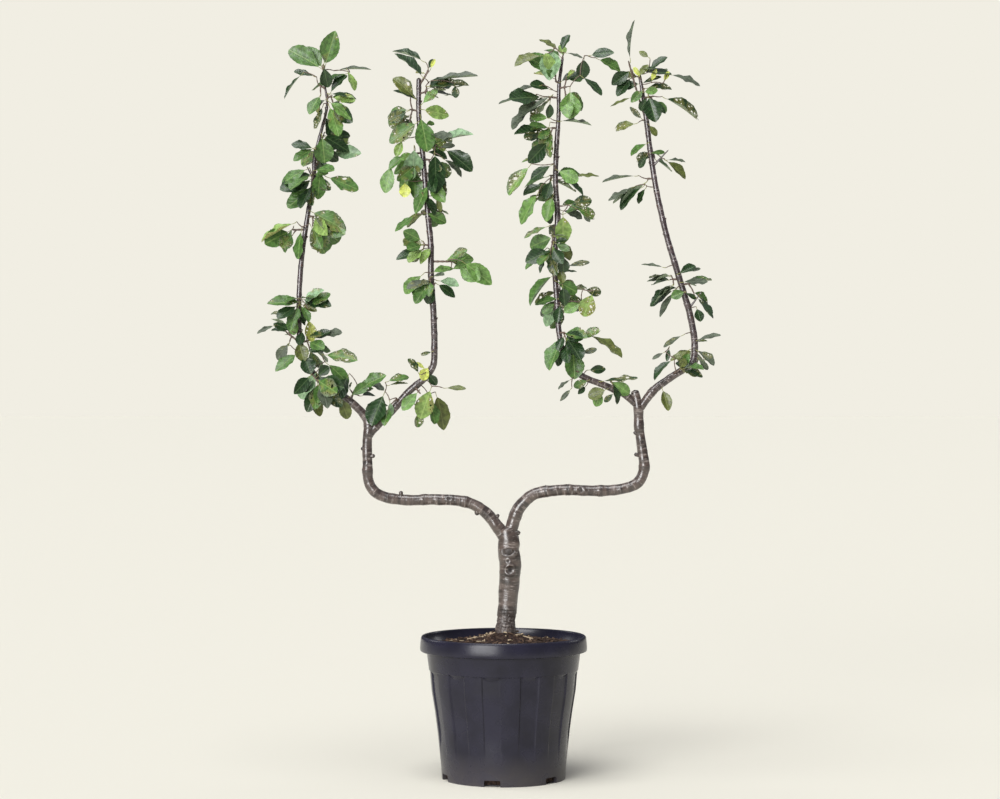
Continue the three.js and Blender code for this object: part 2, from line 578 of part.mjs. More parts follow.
// The leaves of a spur: each is drawn anew, and shorter, until it fits, and is skipped if none does
function growLeaves(spur, spurs, woodiness) {
  const random = seeded(spur.seed);
  const grown = [];
  for (let index = 0; index < spur.leaves; index += 1) {
    for (let attempt = 0; attempt < TRIES; attempt += 1) {
      const leaf = drawLeaf(spur, index, attempt, random);
      const points = bladePoints(leaf);
      if (fits(points, spur, spurs, woodiness, grown)) {
        grown.push({ ...leaf, body: points.slice(BLADE_SHARES.length) });
        break;
      }
    }
  }
  return grown;
}

// A leaf with its stalk as one solid, its root inside the stem
function leafSolid(leaf) {
  const { root, direction, width, side, normal, stalk } = leaf;
  const radius = STALK_DIAMETER / 2;
  const onStalk = (middle) => ({ middle, side, normal, half: radius, keel: radius, lift: radius / 2 });
  const sections = [
    onStalk(root),
    onStalk(root.clone().addScaledVector(direction, stalk)),
    ...LEAF_SECTIONS.map(([v, share]) => {
      const middle = onBlade(leaf, v, 0);
      return { middle, side, normal, half: (width / 2) * share, keel: LEAF_KEEL, lift: width * LEAF_LIFT };
    }),
  ];
  return threeSided(sections, onBlade(leaf, 1, 0));
}

// A spur's stem, its twigs and its leaves as one solid, cut clear of the limb it grows from
function spurSolid(spur, leaves, limb) {
  let solid = twig(spur.start, spur.tip, TWIG_DIAMETER);
  for (const { way, from, to } of spur.twigs) {
    const used = Math.max(0, ...leaves.map(({ place }) => way * place));
    const end = from.clone().lerp(to, used);
    if (used > SIDE_TWIG_SHARE) solid = solid.add(twig(from, end, SIDE_TWIG_DIAMETER));
  }
  for (const leaf of leaves) solid = solid.add(leafSolid(leaf));
  return mainBody(solid.subtract(limb.swollen));
}

// The outer wall's radius at a height, before its flutes
function wallRadius(height) {
  const i = Math.max(1, POT_WALL_RADII.findIndex(([z]) => z >= height));
  const [[z0, r0], [z1, r1]] = [POT_WALL_RADII[i - 1], POT_WALL_RADII[i]];
  return lerp(r0, r1, (height - z0) / (z1 - z0));
}

// The inner wall's radius at a height, clear of the flutes
const innerRadius = (height) => wallRadius(Math.min(height, POT_BAND_BOTTOM - 1)) - POT_WALL - FLUTE_DEPTH;

// How far the flutes press in the container's wall at an angle and a height
function fluteDepth(angle, height) {
  const panel = ((angle - FLUTE_PHASE) * POT_PANELS) / 720;
  const inPanel = Math.abs(panel - Math.round(panel)) < FLUTE_HALF_SHARE;
  return inPanel && height > FLUTE_BOTTOM + 1 && height < FLUTE_TOP - 1 ? FLUTE_DEPTH : 0;
}

// The container: a lathed shell whose wall is pressed in along its flutes, with drainage notches
function makePot() {
  const flute = [FLUTE_BOTTOM, FLUTE_BOTTOM + FLUTE_FADE, FLUTE_TOP - FLUTE_SHOULDER, FLUTE_TOP];
  const profile = [
    [0, 0], [POT_FOOT_RADIUS, 0],
    ...[...flute, POT_BAND_BOTTOM - 1].map((z) => [wallRadius(z), z]),
    [POT_RIM_RADIUS - RIM_DRAFT, POT_BAND_BOTTOM],
    [POT_RIM_RADIUS, POT_HEIGHT - RIM_ROUND],
    [POT_RIM_RADIUS - RIM_TOP_INSET, POT_HEIGHT],
    [POT_LIP_RADIUS, POT_HEIGHT - 1],
    [innerRadius(POT_BAND_BOTTOM), POT_BAND_BOTTOM],
    [innerRadius(POT_FLOOR), POT_FLOOR], [0, POT_FLOOR],
  ];
  const geometry = new THREE.LatheGeometry(profile.map(([r, z]) => new THREE.Vector2(r, z)), POT_PANELS * 2);
  const position = geometry.attributes.position;
  for (let i = 0; i < position.count; i += 1) {
    const [x, z, height] = [position.getX(i), position.getZ(i), position.getY(i)];
    const radius = Math.hypot(x, z);
    const outside = radius > wallRadius(Math.min(height, POT_BAND_BOTTOM - 1)) - 0.1;
    const depth = outside ? fluteDepth(THREE.MathUtils.radToDeg(Math.atan2(x, z)), height) : 0;
    const scale = depth > 0 ? (radius - depth) / radius : 1;
    position.setXYZ(i, x * scale, -z * scale, height);
  }
  let solid = solidOf(geometry);
  for (let i = 0; i < NOTCH_COUNT; i += 1) {
    const notch = new THREE.BoxGeometry(NOTCH_WIDTH, NOTCH_DEPTH, NOTCH_HEIGHT * 2);
    notch.translate(0, -POT_FOOT_RADIUS, 0);
    notch.rotateZ(radians(NOTCH_PHASE + (360 / NOTCH_COUNT) * i));
    solid = solid.subtract(solidOf(notch));
  }
  return mainBody(solid);
}

// The compost: it fills the container a hair clear of the wall and mounds up to the trunk's foot
function makeSoil() {
  const bottom = POT_FLOOR + CLEARANCE;
  const edge = innerRadius(POT_BAND_BOTTOM) - CLEARANCE * 2;
  const profile = [
    [0, bottom], [innerRadius(bottom) - CLEARANCE, bottom], [edge, POT_BAND_BOTTOM], [edge, SOIL_EDGE],
    ...SOIL_SLOPE, [SOIL_SPOT_RADIUS, SOIL_TOP], [0, SOIL_TOP],
  ];
  const geometry = new THREE.LatheGeometry(profile.map(([r, z]) => new THREE.Vector2(r, z)), SOIL_SIDES);
  geometry.rotateX(Math.PI / 2);
  return solidOf(geometry);
}

function mesh(name, solid, material) {
  const made = new THREE.Mesh(geometryOf(solid), material);
  made.name = name;
  return made;
}

const plant = new THREE.Group();
plant.add(mesh('pot', makePot(), CONTAINER), mesh('soil', makeSoil(), COMPOST));

const limbs = makeLimbs();
for (const [name, { solid, bark }] of limbs) plant.add(mesh(name, solid, bark));

const CORDONS = [
  { name: 'left_outer', run: leftRun, bend: LEFT_OUTER_BEND, spurs: LEFT_OUTER_SPURS },
  { name: 'left_inner', run: leftInnerRun, bend: LEFT_INNER_BEND, spurs: LEFT_INNER_SPURS },
  { name: 'right_inner', run: rightInnerRun, bend: RIGHT_INNER_BEND, spurs: RIGHT_INNER_SPURS },
  { name: 'right_outer', run: rightOuterRun, bend: RIGHT_OUTER_BEND, spurs: RIGHT_OUTER_SPURS },
];
const placed = CORDONS.flatMap(({ name, run, bend, spurs }, cordon) => spurs.map((spur, i) => ({
  ...placeSpur(run, spur, 1000 * (cordon + 1) + i),
  mass: `leaves_${name}_${spur[0]}`,
  limb: limbs.get(`${name}_${spur[1] < bend ? 'foot' : 'upright'}`),
})));
const avoided = woodPlaces([leftRun, leftInnerRun, rightRun, rightInnerRun, rightOuterRun]);
for (const spur of placed) {
  plant.add(mesh(spur.mass, spurSolid(spur, growLeaves(spur, placed, avoided), spur.limb), FOLIAGE));
}

export default plant;
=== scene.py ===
"""A Victoria plum trained as a double U, in a round fluted nursery container.

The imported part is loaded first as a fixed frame. Sizes are named in millimetres, in the part's own frame: the
origin is the centre of the container's underside, +Z is up, +X is to the right and the front faces -Y. They
turn to metres where a mesh is made.
"""
import logging
import math
from collections import Counter
from dataclasses import dataclass, field
from enum import Enum
from typing import Callable, ClassVar, Iterable

import bpy
import numpy as np
from bpy.types import Mesh, NodeSocket, NodeTree, Object
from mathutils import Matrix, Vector, noise
from mathutils.geometry import delaunay_2d_cdt


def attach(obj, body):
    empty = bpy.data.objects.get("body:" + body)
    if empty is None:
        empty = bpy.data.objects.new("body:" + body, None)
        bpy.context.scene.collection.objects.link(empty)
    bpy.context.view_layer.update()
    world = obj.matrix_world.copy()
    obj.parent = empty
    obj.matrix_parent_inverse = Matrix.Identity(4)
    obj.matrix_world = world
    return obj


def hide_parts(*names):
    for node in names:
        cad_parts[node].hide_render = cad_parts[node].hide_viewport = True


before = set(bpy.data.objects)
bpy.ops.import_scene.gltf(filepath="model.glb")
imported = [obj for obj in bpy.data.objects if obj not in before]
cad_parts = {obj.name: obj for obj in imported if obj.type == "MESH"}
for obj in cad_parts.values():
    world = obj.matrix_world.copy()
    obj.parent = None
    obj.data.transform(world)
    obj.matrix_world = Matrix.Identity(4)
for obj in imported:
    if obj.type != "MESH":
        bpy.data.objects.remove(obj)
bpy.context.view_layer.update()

MM = 0.001
BODY = "root"
# What functions pass on: arrays of places or values, a source of random numbers, vertices with their faces
Array = np.ndarray
Draw = Callable[[], float]
Shape = tuple[Array, list[list[int]]]

UP = np.array([0.0, 0.0, 1.0])
FRONT = np.array([0.0, -1.0, 0.0])
RIGHT = np.array([1.0, 0.0, 0.0])
# The camera's place, and the size and middle of the photograph's frame in pixels
CAMERA_PLACE = np.array([-6.7, -4430.0, 702.0])
FOCAL_PIXELS = 2386.0
MIDDLE_PIXEL = (500.0, 399.5)

logging.basicConfig(level=logging.INFO, format="%(message)s")
log = logging.getLogger("plum")


def linear(colour: str) -> tuple[float, float, float, float]:
    """Returns an sRGB hex colour, as "#rrggbb", in linear light with an alpha of 1."""
    channels = [int(colour[i:i + 2], 16) / 255 for i in (1, 3, 5)]
    return (*(c / 12.92 if c <= 0.04045 else ((c + 0.055) / 1.055) ** 2.4 for c in channels), 1.0)


def add_node(
    tree: NodeTree, kind: str, settings: dict | None = None, inputs: dict | None = None,
    output: str | None = None
) -> NodeSocket | None:
    """Adds a node with its settings, its values and the links to it.

    Args:
        tree: the material's node tree.
        kind: the node's type name after "ShaderNode".
        settings: values of the node's own properties.
        inputs: for each input socket, by name or number, a value, a hex colour or the output that feeds it.
        output: the name of the wanted output; the first one in use where it is left out.

    Returns:
        That output, or None from a node that has none.
    """
    node = tree.nodes.new("ShaderNode" + kind)
    for name, value in (settings or {}).items():
        setattr(node, name, value)
    for name, value in (inputs or {}).items():
        if isinstance(value, NodeSocket):
            tree.links.new(value, node.inputs[name])
        else:
            node.inputs[name].default_value = linear(value) if isinstance(value, str) else value
    return node.outputs[output] if output else next((one for one in node.outputs if one.enabled), None)


# A colour mix: its setting, and the sockets for what it mixes by and for its two colours
COLOURS = {"data_type": "RGBA"}
BY, FIRST, SECOND = 0, 6, 7


@dataclass(frozen=True)
class Finish:
    """What all finishes share: a name and a material built from the shader that each kind adds."""

    name: str

    def shader(self, tree: NodeTree) -> NodeSocket:
        """Adds this finish's nodes and returns its shader."""
        raise NotImplementedError

    def material(self) -> bpy.types.Material:
        """Returns the finish's material, made on its first use."""
        made = bpy.data.materials.get(self.name)
        if made is None:
            made = bpy.data.materials.new(self.name)
            made.use_nodes = True
            made.node_tree.nodes.clear()
            add_node(made.node_tree, "OutputMaterial", inputs={"Surface": self.shader(made.node_tree)})
        return made


@dataclass(frozen=True)
class MouldedPolypropylene(Finish):
    """Recycled polypropylene, injection moulded: satin anthracite, softly clouded and dusty near its foot."""

    name: str = "moulded_polypropylene"
    colour: str = "#222130"
    clouded: str = "#191825"
    dust: str = "#6A645F"
    cloud_mm: float = 45.0
    grain_mm: float = 1.6
    dusty_up_to_mm: float = 60.0

    def shader(self, tree: NodeTree) -> NodeSocket:
        """Adds the moulded surface: clouding in the colour, dust low down and a fine moulding grain."""
        place = add_node(tree, "TexCoord", output="Object")
        clouds = add_node(tree, "TexNoise", inputs={
            "Vector": place, "Scale": 1 / (self.cloud_mm * MM), "Detail": 3.0})
        cloud_share = add_node(tree, "MapRange", inputs={"Value": clouds, "From Min": 0.38, "From Max": 0.66})
        body = add_node(tree, "Mix", COLOURS, {BY: cloud_share, FIRST: self.colour, SECOND: self.clouded})
        height = add_node(tree, "SeparateXYZ", inputs={"Vector": place}, output="Z")
        low = add_node(tree, "MapRange", inputs={
            "Value": height, "From Min": self.dusty_up_to_mm * MM, "From Max": 0.0, "To Max": 0.5})
        dusty = add_node(tree, "Math", {"operation": "MULTIPLY"}, {0: low, 1: clouds})
        colour = add_node(tree, "Mix", COLOURS, {BY: dusty, FIRST: body, SECOND: self.dust})
        roughness = add_node(tree, "MapRange", inputs={"Value": clouds, "To Min": 0.2, "To Max": 0.36})
        grain = add_node(tree, "TexNoise", inputs={
            "Vector": place, "Scale": 1 / (self.grain_mm * MM), "Detail": 2.0})
        bump = add_node(tree, "Bump", inputs={"Height": grain, "Strength": 0.12, "Distance": 0.2 * MM})
        return add_node(tree, "BsdfPrincipled", inputs={
            "Base Color": colour, "Roughness": roughness, "Specular IOR Level": 0.35, "Normal": bump})


@dataclass(frozen=True)
class Mottled(Finish):
    """A dull natural skin whose colour and relief follow one noise: compost, bark chips, shoots and stalks.

    `mottled_and_shaded` is the colour where the noise is low, which is where the bump sinks, so it is partly
    the skin's own mottling and partly painted shade in the hollows, and `shares` are the noise's values at
    which the two colours are pure.
    """

    colour: str
    mottled_and_shaded: str
    mottle_mm: float = 3.0
    detail: float = 2.0
    shares: tuple[float, float] = (0.0, 1.0)
    roughness: float = 0.5
    specular: float = 0.5
    bump: float = 0.3
    relief_mm: float = 0.3

    def shader(self, tree: NodeTree) -> NodeSocket:
        """Adds the mottled skin, darker in the hollows of its bump as partly painted shade."""
        place = add_node(tree, "TexCoord", output="Object")
        mottle = add_node(tree, "TexNoise", inputs={
            "Vector": place, "Scale": 1 / (self.mottle_mm * MM), "Detail": self.detail})
        # The darker colour goes where the noise is low, which is where the bump sinks: partly the skin's own
        # mottling, partly painted shade
        share = add_node(tree, "MapRange", inputs={
            "Value": mottle, "From Min": self.shares[0], "From Max": self.shares[1]})
        colour = add_node(tree, "Mix", COLOURS, {BY: share, FIRST: self.mottled_and_shaded, SECOND: self.colour})
        bump = add_node(tree, "Bump", inputs={
            "Height": mottle, "Strength": self.bump, "Distance": self.relief_mm * MM})
        return add_node(tree, "BsdfPrincipled", inputs={
            "Base Color": colour, "Roughness": self.roughness, "Specular IOR Level": self.specular,
            "Normal": bump})


@dataclass(frozen=True)
class PlumBark(Finish):
    """Plum bark: smooth and satin with rings of lenticels, purplish when young, taupe and scaly when old, with
    painted highlight on its raised rings and painted shade in its sunk rings and cracks.

    It reads what the limbs' meshes carry: `grain`, a place in the limb's own space with the distance along
    it, `age` from young to old, `scales` where the old bark is rough, and `scar`, how dark the cut ends and the
    knots' marks are, which is partly the wood's own colour and partly painted shade in the marks' hollows.
    """

    name: str = "plum_bark"
    young: str = "#281E21"
    young_bloom: str = "#483A3F"
    old: str = "#5F514A"
    old_dark: str = "#281E1A"
    old_pale_and_highlight: str = "#D2C7C1"
    crack_and_shade: str = "#2A201D"
    scar: str = "#170F0C"
    patch_mm: float = 9.0
    lenticel_mm: float = 3.0
    scale_mm: float = 7.0

    def shader(self, tree: NodeTree) -> NodeSocket:
        """Adds the bark: patches of colour, lenticels round the limb, scales and darkened cuts, with painted
        highlight and shade on its rings, cracks and marks.
        """
        grain = add_node(tree, "Attribute", {"attribute_name": "grain"}, output="Vector")
        age, scales, scar = (
            add_node(tree, "Attribute", {"attribute_name": name}, output="Fac")
            for name in ("age", "scales", "scar"))
        # Patches and lenticels are wide round the limb and narrow along it
        squeezed = add_node(tree, "Mapping", inputs={"Vector": grain, "Scale": (0.22, 0.22, 1.0)})
        patches = add_node(tree, "TexNoise", inputs={
            "Vector": squeezed, "Scale": 1 / (self.patch_mm * MM), "Detail": 6.0})
        patch_share = add_node(tree, "MapRange", inputs={
            "Value": patches, "From Min": 0.35, "From Max": 0.65})
        young = add_node(tree, "Mix", COLOURS, {BY: patch_share, FIRST: self.young, SECOND: self.young_bloom})
        old = add_node(tree, "Mix", COLOURS, {BY: patch_share, FIRST: self.old_dark, SECOND: self.old})
        pores = add_node(tree, "TexNoise", inputs={
            "Vector": squeezed, "Scale": 1 / (self.lenticel_mm * MM), "Detail": 2.0})
        # Paler on the pores' raised rings and darker in their sunk ones, by the same noise as the bump: the
        # pale is partly the bark's silvery skin and partly painted highlight, the dark partly lenticels and
        # partly painted shade
        pale_rings_and_highlight = add_node(tree, "MapRange", inputs={
            "Value": pores, "From Min": 0.56, "From Max": 0.7, "To Max": 0.3})
        dark_rings_and_shade = add_node(tree, "MapRange", inputs={
            "Value": pores, "From Min": 0.4, "From Max": 0.28, "To Max": 0.45})
        cells = add_node(tree, "TexVoronoi", {"feature": "DISTANCE_TO_EDGE"}, {
            "Vector": grain, "Scale": 1 / (self.scale_mm * MM)})
        # Dark in the cracks between the scales, where the bump sinks: partly the cracks' own colour, partly
        # painted shade
        cracks = add_node(tree, "MapRange", inputs={
            "Value": cells, "From Min": 0.1, "From Max": 0.02, "To Max": 0.85})
        cracked = add_node(tree, "Math", {"operation": "MULTIPLY"}, {0: cracks, 1: scales})
        by_age = add_node(tree, "Mix", COLOURS, {BY: age, FIRST: young, SECOND: old})
        pale = add_node(tree, "Mix", COLOURS, {BY: pale_rings_and_highlight, FIRST: by_age, SECOND: self.old_pale_and_highlight})
        ringed = add_node(tree, "Mix", COLOURS, {BY: dark_rings_and_shade, FIRST: pale, SECOND: self.crack_and_shade})
        scaly = add_node(tree, "Mix", COLOURS, {BY: cracked, FIRST: ringed, SECOND: self.crack_and_shade})
        colour = add_node(tree, "Mix", COLOURS, {BY: scar, FIRST: scaly, SECOND: self.scar})
        roughness = add_node(tree, "MapRange", inputs={"Value": scales, "To Min": 0.27, "To Max": 0.5})
        dull = add_node(tree, "Math", {"operation": "MAXIMUM"}, {0: roughness, 1: scar})
        raised = add_node(tree, "Math", {"operation": "SUBTRACT"}, {0: pores, 1: cracked})
        bump = add_node(tree, "Bump", inputs={"Height": raised, "Strength": 0.55, "Distance": 0.6 * MM})
        return add_node(tree, "BsdfPrincipled", inputs={
            "Base Color": colour, "Roughness": dull, "Normal": bump, "Specular IOR Level": 1.0})


@dataclass(frozen=True)
class PlumLeaf(Finish):
    """A plum leaf's skin: a colour lightened on its puckers and darkened in their dips as painted light and
    shade over the leaf's own mottling, with paler veins and scorched rims round its holes, softly shiny.

    It reads the blade's own map, across and along, and `scorch`, which is above 0 at a hole's rim.
    """

    colour: str = "#4F7A35"
    vein: str = "#9DB56A"
    scorched: str = "#8F8A4A"
    roughness: float = 0.36
    vein_share: float = 0.35
    side_veins: float = 7.0
    vein_slant: float = 0.55
    pucker_mm: float = 7.0

    def shader(self, tree: NodeTree) -> NodeSocket:
        """Adds the blade's skin: midrib, slanting side veins, mottling with painted light and shade over the
        puckers, scorched rims and puckering.
        """
        blade = add_node(tree, "UVMap", {"uv_map": "blade"})
        place = add_node(tree, "TexCoord", output="Object")
        scorch = add_node(tree, "Attribute", {"attribute_name": "scorch"}, output="Fac")
        x = add_node(tree, "SeparateXYZ", inputs={"Vector": blade}, output="X")
        centred = add_node(tree, "Math", {"operation": "SUBTRACT"}, {0: x, 1: 0.5})
        across = add_node(tree, "Math", {"operation": "ABSOLUTE"}, {0: centred})
        midrib = add_node(tree, "MapRange", inputs={
            "Value": across, "From Min": 0.012, "From Max": 0.04, "To Min": 1.0, "To Max": 0.0})
        slanted = add_node(tree, "Math", {"operation": "MULTIPLY_ADD"}, {
            0: across, 1: -self.vein_slant, 2: x.node.outputs["Y"]})
        along = add_node(tree, "Math", {"operation": "MULTIPLY"}, {0: slanted, 1: self.side_veins})
        ripple = add_node(tree, "Math", {"operation": "PINGPONG"}, {0: along, 1: 0.5})
        side_veins = add_node(tree, "MapRange", inputs={
            "Value": ripple, "From Min": 0.0, "From Max": 0.09, "To Min": 0.6, "To Max": 0.0})
        veins = add_node(tree, "Math", {"operation": "MAXIMUM"}, {0: midrib, 1: side_veins})
        vein_mix = add_node(tree, "Math", {"operation": "MULTIPLY"}, {0: veins, 1: self.vein_share})
        pucker = add_node(tree, "TexNoise", inputs={
            "Vector": place, "Scale": 1 / (self.pucker_mm * MM), "Detail": 1.0})
        # Lighter on the puckers' bulges and darker in their dips, by the same noise as the bump: partly the
        # leaf's own mottling, partly painted light and shade
        shade = add_node(tree, "MapRange", inputs={
            "Value": pucker, "From Min": 0.35, "From Max": 0.65, "To Min": 0.66, "To Max": 1.24})
        mottled_and_shaded = add_node(tree, "HueSaturation", inputs={"Color": self.colour, "Value": shade})
        veined = add_node(tree, "Mix", COLOURS, {BY: vein_mix, FIRST: mottled_and_shaded, SECOND: self.vein})
        colour = add_node(tree, "Mix", COLOURS, {BY: scorch, FIRST: veined, SECOND: self.scorched})
        height = add_node(tree, "Math", {"operation": "SUBTRACT"}, {0: pucker, 1: veins})
        bump = add_node(tree, "Bump", inputs={"Height": height, "Strength": 0.3, "Distance": 1.0 * MM})
        return add_node(tree, "BsdfPrincipled", inputs={
            "Base Color": colour, "Roughness": self.roughness, "Normal": bump})


@dataclass(frozen=True)
class PaleGround(Finish):
    """Cream painted board under the container, matt."""

    name: str = "painted_board"
    colour: str = "#E4E1D4"

    def shader(self, tree: NodeTree) -> NodeSocket:
        """Adds the plain matt paint."""
        return add_node(tree, "BsdfPrincipled", inputs={
            "Base Color": self.colour, "Roughness": 0.9, "Specular IOR Level": 0.1})


class Tone(Enum):
    """The base colours that leaves are dealt, by the letter that the spurs' tables use; the dark, bright and
    silvery ones carry painted shade, highlight and sheen over their own greens.
    """

    DARK = "D"
    MID = "M"
    LIGHT = "L"
    BRIGHT_AND_HIGHLIT = "B"
    OLIVE = "O"
    YELLOW = "Y"
    GREY = "G"
    SILVERY_WITH_PAINTED_SHEEN = "S"


LEAF_FINISHES = {
    # Dark green darkened beyond the leaves' own green: the extra dark is painted shade
    Tone.DARK: PlumLeaf("plum_leaf_dark_and_shaded", "#213A1C", "#71895A", roughness=0.3),
    Tone.MID: PlumLeaf("plum_leaf_mid", "#486B31"),
    Tone.LIGHT: PlumLeaf("plum_leaf_light", "#7D9A50", "#B9CB84"),
    # The leaves' own mid green lightened: the lightening is painted highlight
    Tone.BRIGHT_AND_HIGHLIT: PlumLeaf("plum_leaf_bright_and_highlit", "#628743", "#A8C07E"),
    Tone.OLIVE: PlumLeaf("plum_leaf_olive", "#59632F", "#939A5C"),
    Tone.YELLOW: PlumLeaf("plum_leaf_yellow", "#B3BC55", "#DCE096"),
    Tone.GREY: PlumLeaf("plum_leaf_grey", "#4D5746", "#848C78", roughness=0.45),
    # A pale grey green: partly these leaves' own paler green, partly painted sheen of light glancing off them
    Tone.SILVERY_WITH_PAINTED_SHEEN: PlumLeaf("plum_leaf_silvery", "#7C9B74", "#A9BF9B", roughness=0.42),
}
GREEN_UNDERSIDE = PlumLeaf("plum_leaf_underside", "#8A9B80", "#B4C0A4", roughness=0.68, vein_share=0.7)
YELLOW_UNDERSIDE = PlumLeaf("plum_leaf_yellow_underside", "#C0C47E", "#DADCA8", roughness=0.68)
CONTAINER_PLASTIC = MouldedPolypropylene()
BARK = PlumBark()
# Moist peat compost: near black crumbs with brown fibres, quite matt; its near black lies in the hollows of its
# bump, partly the peat's own colour and partly painted shade
COMPOST = Mottled("peat_compost", "#4A3830", "#1D1614", 4.0, 4.0, (0.42, 0.68), 0.95, 0.2, 0.8, 2.0)
# The thin skin of spurs, leaf stalks and bud scales: satin, with soft mottling, darker in the hollows of its
# bump as partly painted shade
SPUR_SKIN = Mottled("spur_bark", "#77665A", "#4C3C36")
STALK_SKIN = Mottled("leaf_stalk", "#93A05C", "#7A6A44", roughness=0.45)
BUD_SKIN = Mottled("bud_scales", "#6A4A3E", "#3A2823")
# Shredded bark and wood chips: dry, fibrous and matt, with darker streaks in the hollows of their bump that are
# partly painted shade
CHIP_FINISHES = tuple(
    Mottled(f"bark_chip_{name}", colour, streak_and_shade, 1.5, 3.0, roughness=0.85, bump=0.5, relief_mm=0.4)
    for name, colour, streak_and_shade in (
        ("tan", "#C8B799", "#86715A"), ("brown", "#6E5643", "#463528"), ("dark", "#4A3628", "#2C2019")))


def deselect() -> None:
    """Deselects everything, because an operator acts on all that is selected."""
    if bpy.context.object and bpy.context.object.mode != "OBJECT":
        bpy.ops.object.mode_set(mode="OBJECT")
    bpy.ops.object.select_all(action="DESELECT")


def choose(piece: Object) -> None:
    """Makes a piece the only selected one and the active one."""
    deselect()
    piece.select_set(True)
    bpy.context.view_layer.objects.active = piece


def join(pieces: list[Object]) -> None:
    """Joins pieces into the first of them, which stays chosen."""
    choose(pieces[0])
    for piece in pieces[1:]:
        piece.select_set(True)
    bpy.ops.object.join()


def hand_over(piece: Object, name: str, finish: Finish, slot: str, nodes: Iterable[str]) -> None:
    """Names a finished piece, settles its place in its mesh, dresses it and lets it ride on the part.

    Args:
        piece: the finished mesh object.
        name: the piece's name.
        finish: what it is made of.
        slot: the record's material slot that it belongs to; not used.
        nodes: the frame's nodes that it stands for.
    """
    choose(piece)
    bpy.ops.object.transform_apply(location=True, rotation=True, scale=True)
    piece.name = name
    piece.data.name = name
    piece.data.materials.clear()
    piece.data.materials.append(finish.material())
    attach(piece, BODY)
    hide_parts(*nodes)
    log.info("%s: %d faces, %s", name, len(piece.data.polygons), finish.name)


def mesh_object(name: str, vertices: Array, faces: list) -> Object:
    """Makes an object of a mesh in metres from vertices in millimetres and the faces that join them."""
    mesh = bpy.data.meshes.new(name)
    mesh.from_pydata((np.asarray(vertices) * MM).tolist(), [], faces)
    mesh.update()
    made = bpy.data.objects.new(name, mesh)
    bpy.context.scene.collection.objects.link(made)
    return made


def keep_attribute(mesh: Mesh, name: str, kind: str, values: Array) -> None:
    """Stores a value on each vertex of a mesh: kind is "FLOAT" or "FLOAT_VECTOR"."""
    attribute = mesh.attributes.new(name, kind, "POINT")
    attribute.data.foreach_set("vector" if kind == "FLOAT_VECTOR" else "value", np.ravel(values))


def seeded(seed: int) -> Draw:
    """Returns a source of numbers from 0 to 1 that are the same on every run, as the part's source has."""
    state = seed

    def draw() -> float:
        """Returns the next number."""
        nonlocal state
        state = (state * 1664525 + 1013904223) % 4294967296
        return state / 4294967296

    return draw


def lerp(low: float, high: float, share: float) -> float:
    """Returns the value at a share of the way from low to high, for numbers and vectors."""
    return low + (high - low) * share


def between(draw: Draw, limits: tuple[float, float]) -> float:
    """Returns a draw between two limits."""
    return lerp(limits[0], limits[1], draw())


def clamp(value: float, low: float, high: float) -> float:
    """Returns the value, kept between low and high."""
    return max(low, min(high, value))


def smooth(value: float | Array, start: float, end: float) -> float | Array:
    """Returns a soft step that is 0 at start and 1 at end."""
    share = np.clip((value - start) / (end - start), 0, 1)
    return share * share * (3 - 2 * share)


def hump(distance: Array, width: float, power: int = 2) -> Array:
    """Returns 1 at no distance, falling smoothly to 0 beyond a width, the steeper the higher the power."""
    return np.exp(-(distance / width) ** power)


def unit(vector: Array) -> Array:
    """Returns a vector's direction."""
    return vector / np.linalg.norm(vector)


def seen_from_front(angle: float, front: float) -> Array:
    """Returns the direction seen at an angle from the front, turned so many degrees towards the front."""
    turn, lean = math.radians(angle), math.radians(front)
    flat = np.array([math.cos(turn), 0.0, math.sin(turn)])
    return flat * math.cos(lean) + FRONT * math.sin(lean)


def apart_in_view(points: Array, others: Array) -> Array:
    """Returns how far each of some points is from each of others, as seen from the front."""
    return np.hypot(points[:, None, 0] - others[None, :, 0], points[:, None, 2] - others[None, :, 2])


def at_pixel(x: float, y: float, depth: float) -> Array:
    """Returns the place at a depth, towards the back, that the photograph shows at a pixel."""
    away = depth - CAMERA_PLACE[1]
    scale = away / FOCAL_PIXELS
    return CAMERA_PLACE + np.array([(x - MIDDLE_PIXEL[0]) * scale, away, (MIDDLE_PIXEL[1] - y) * scale])


Station = tuple[float, float, float, float]


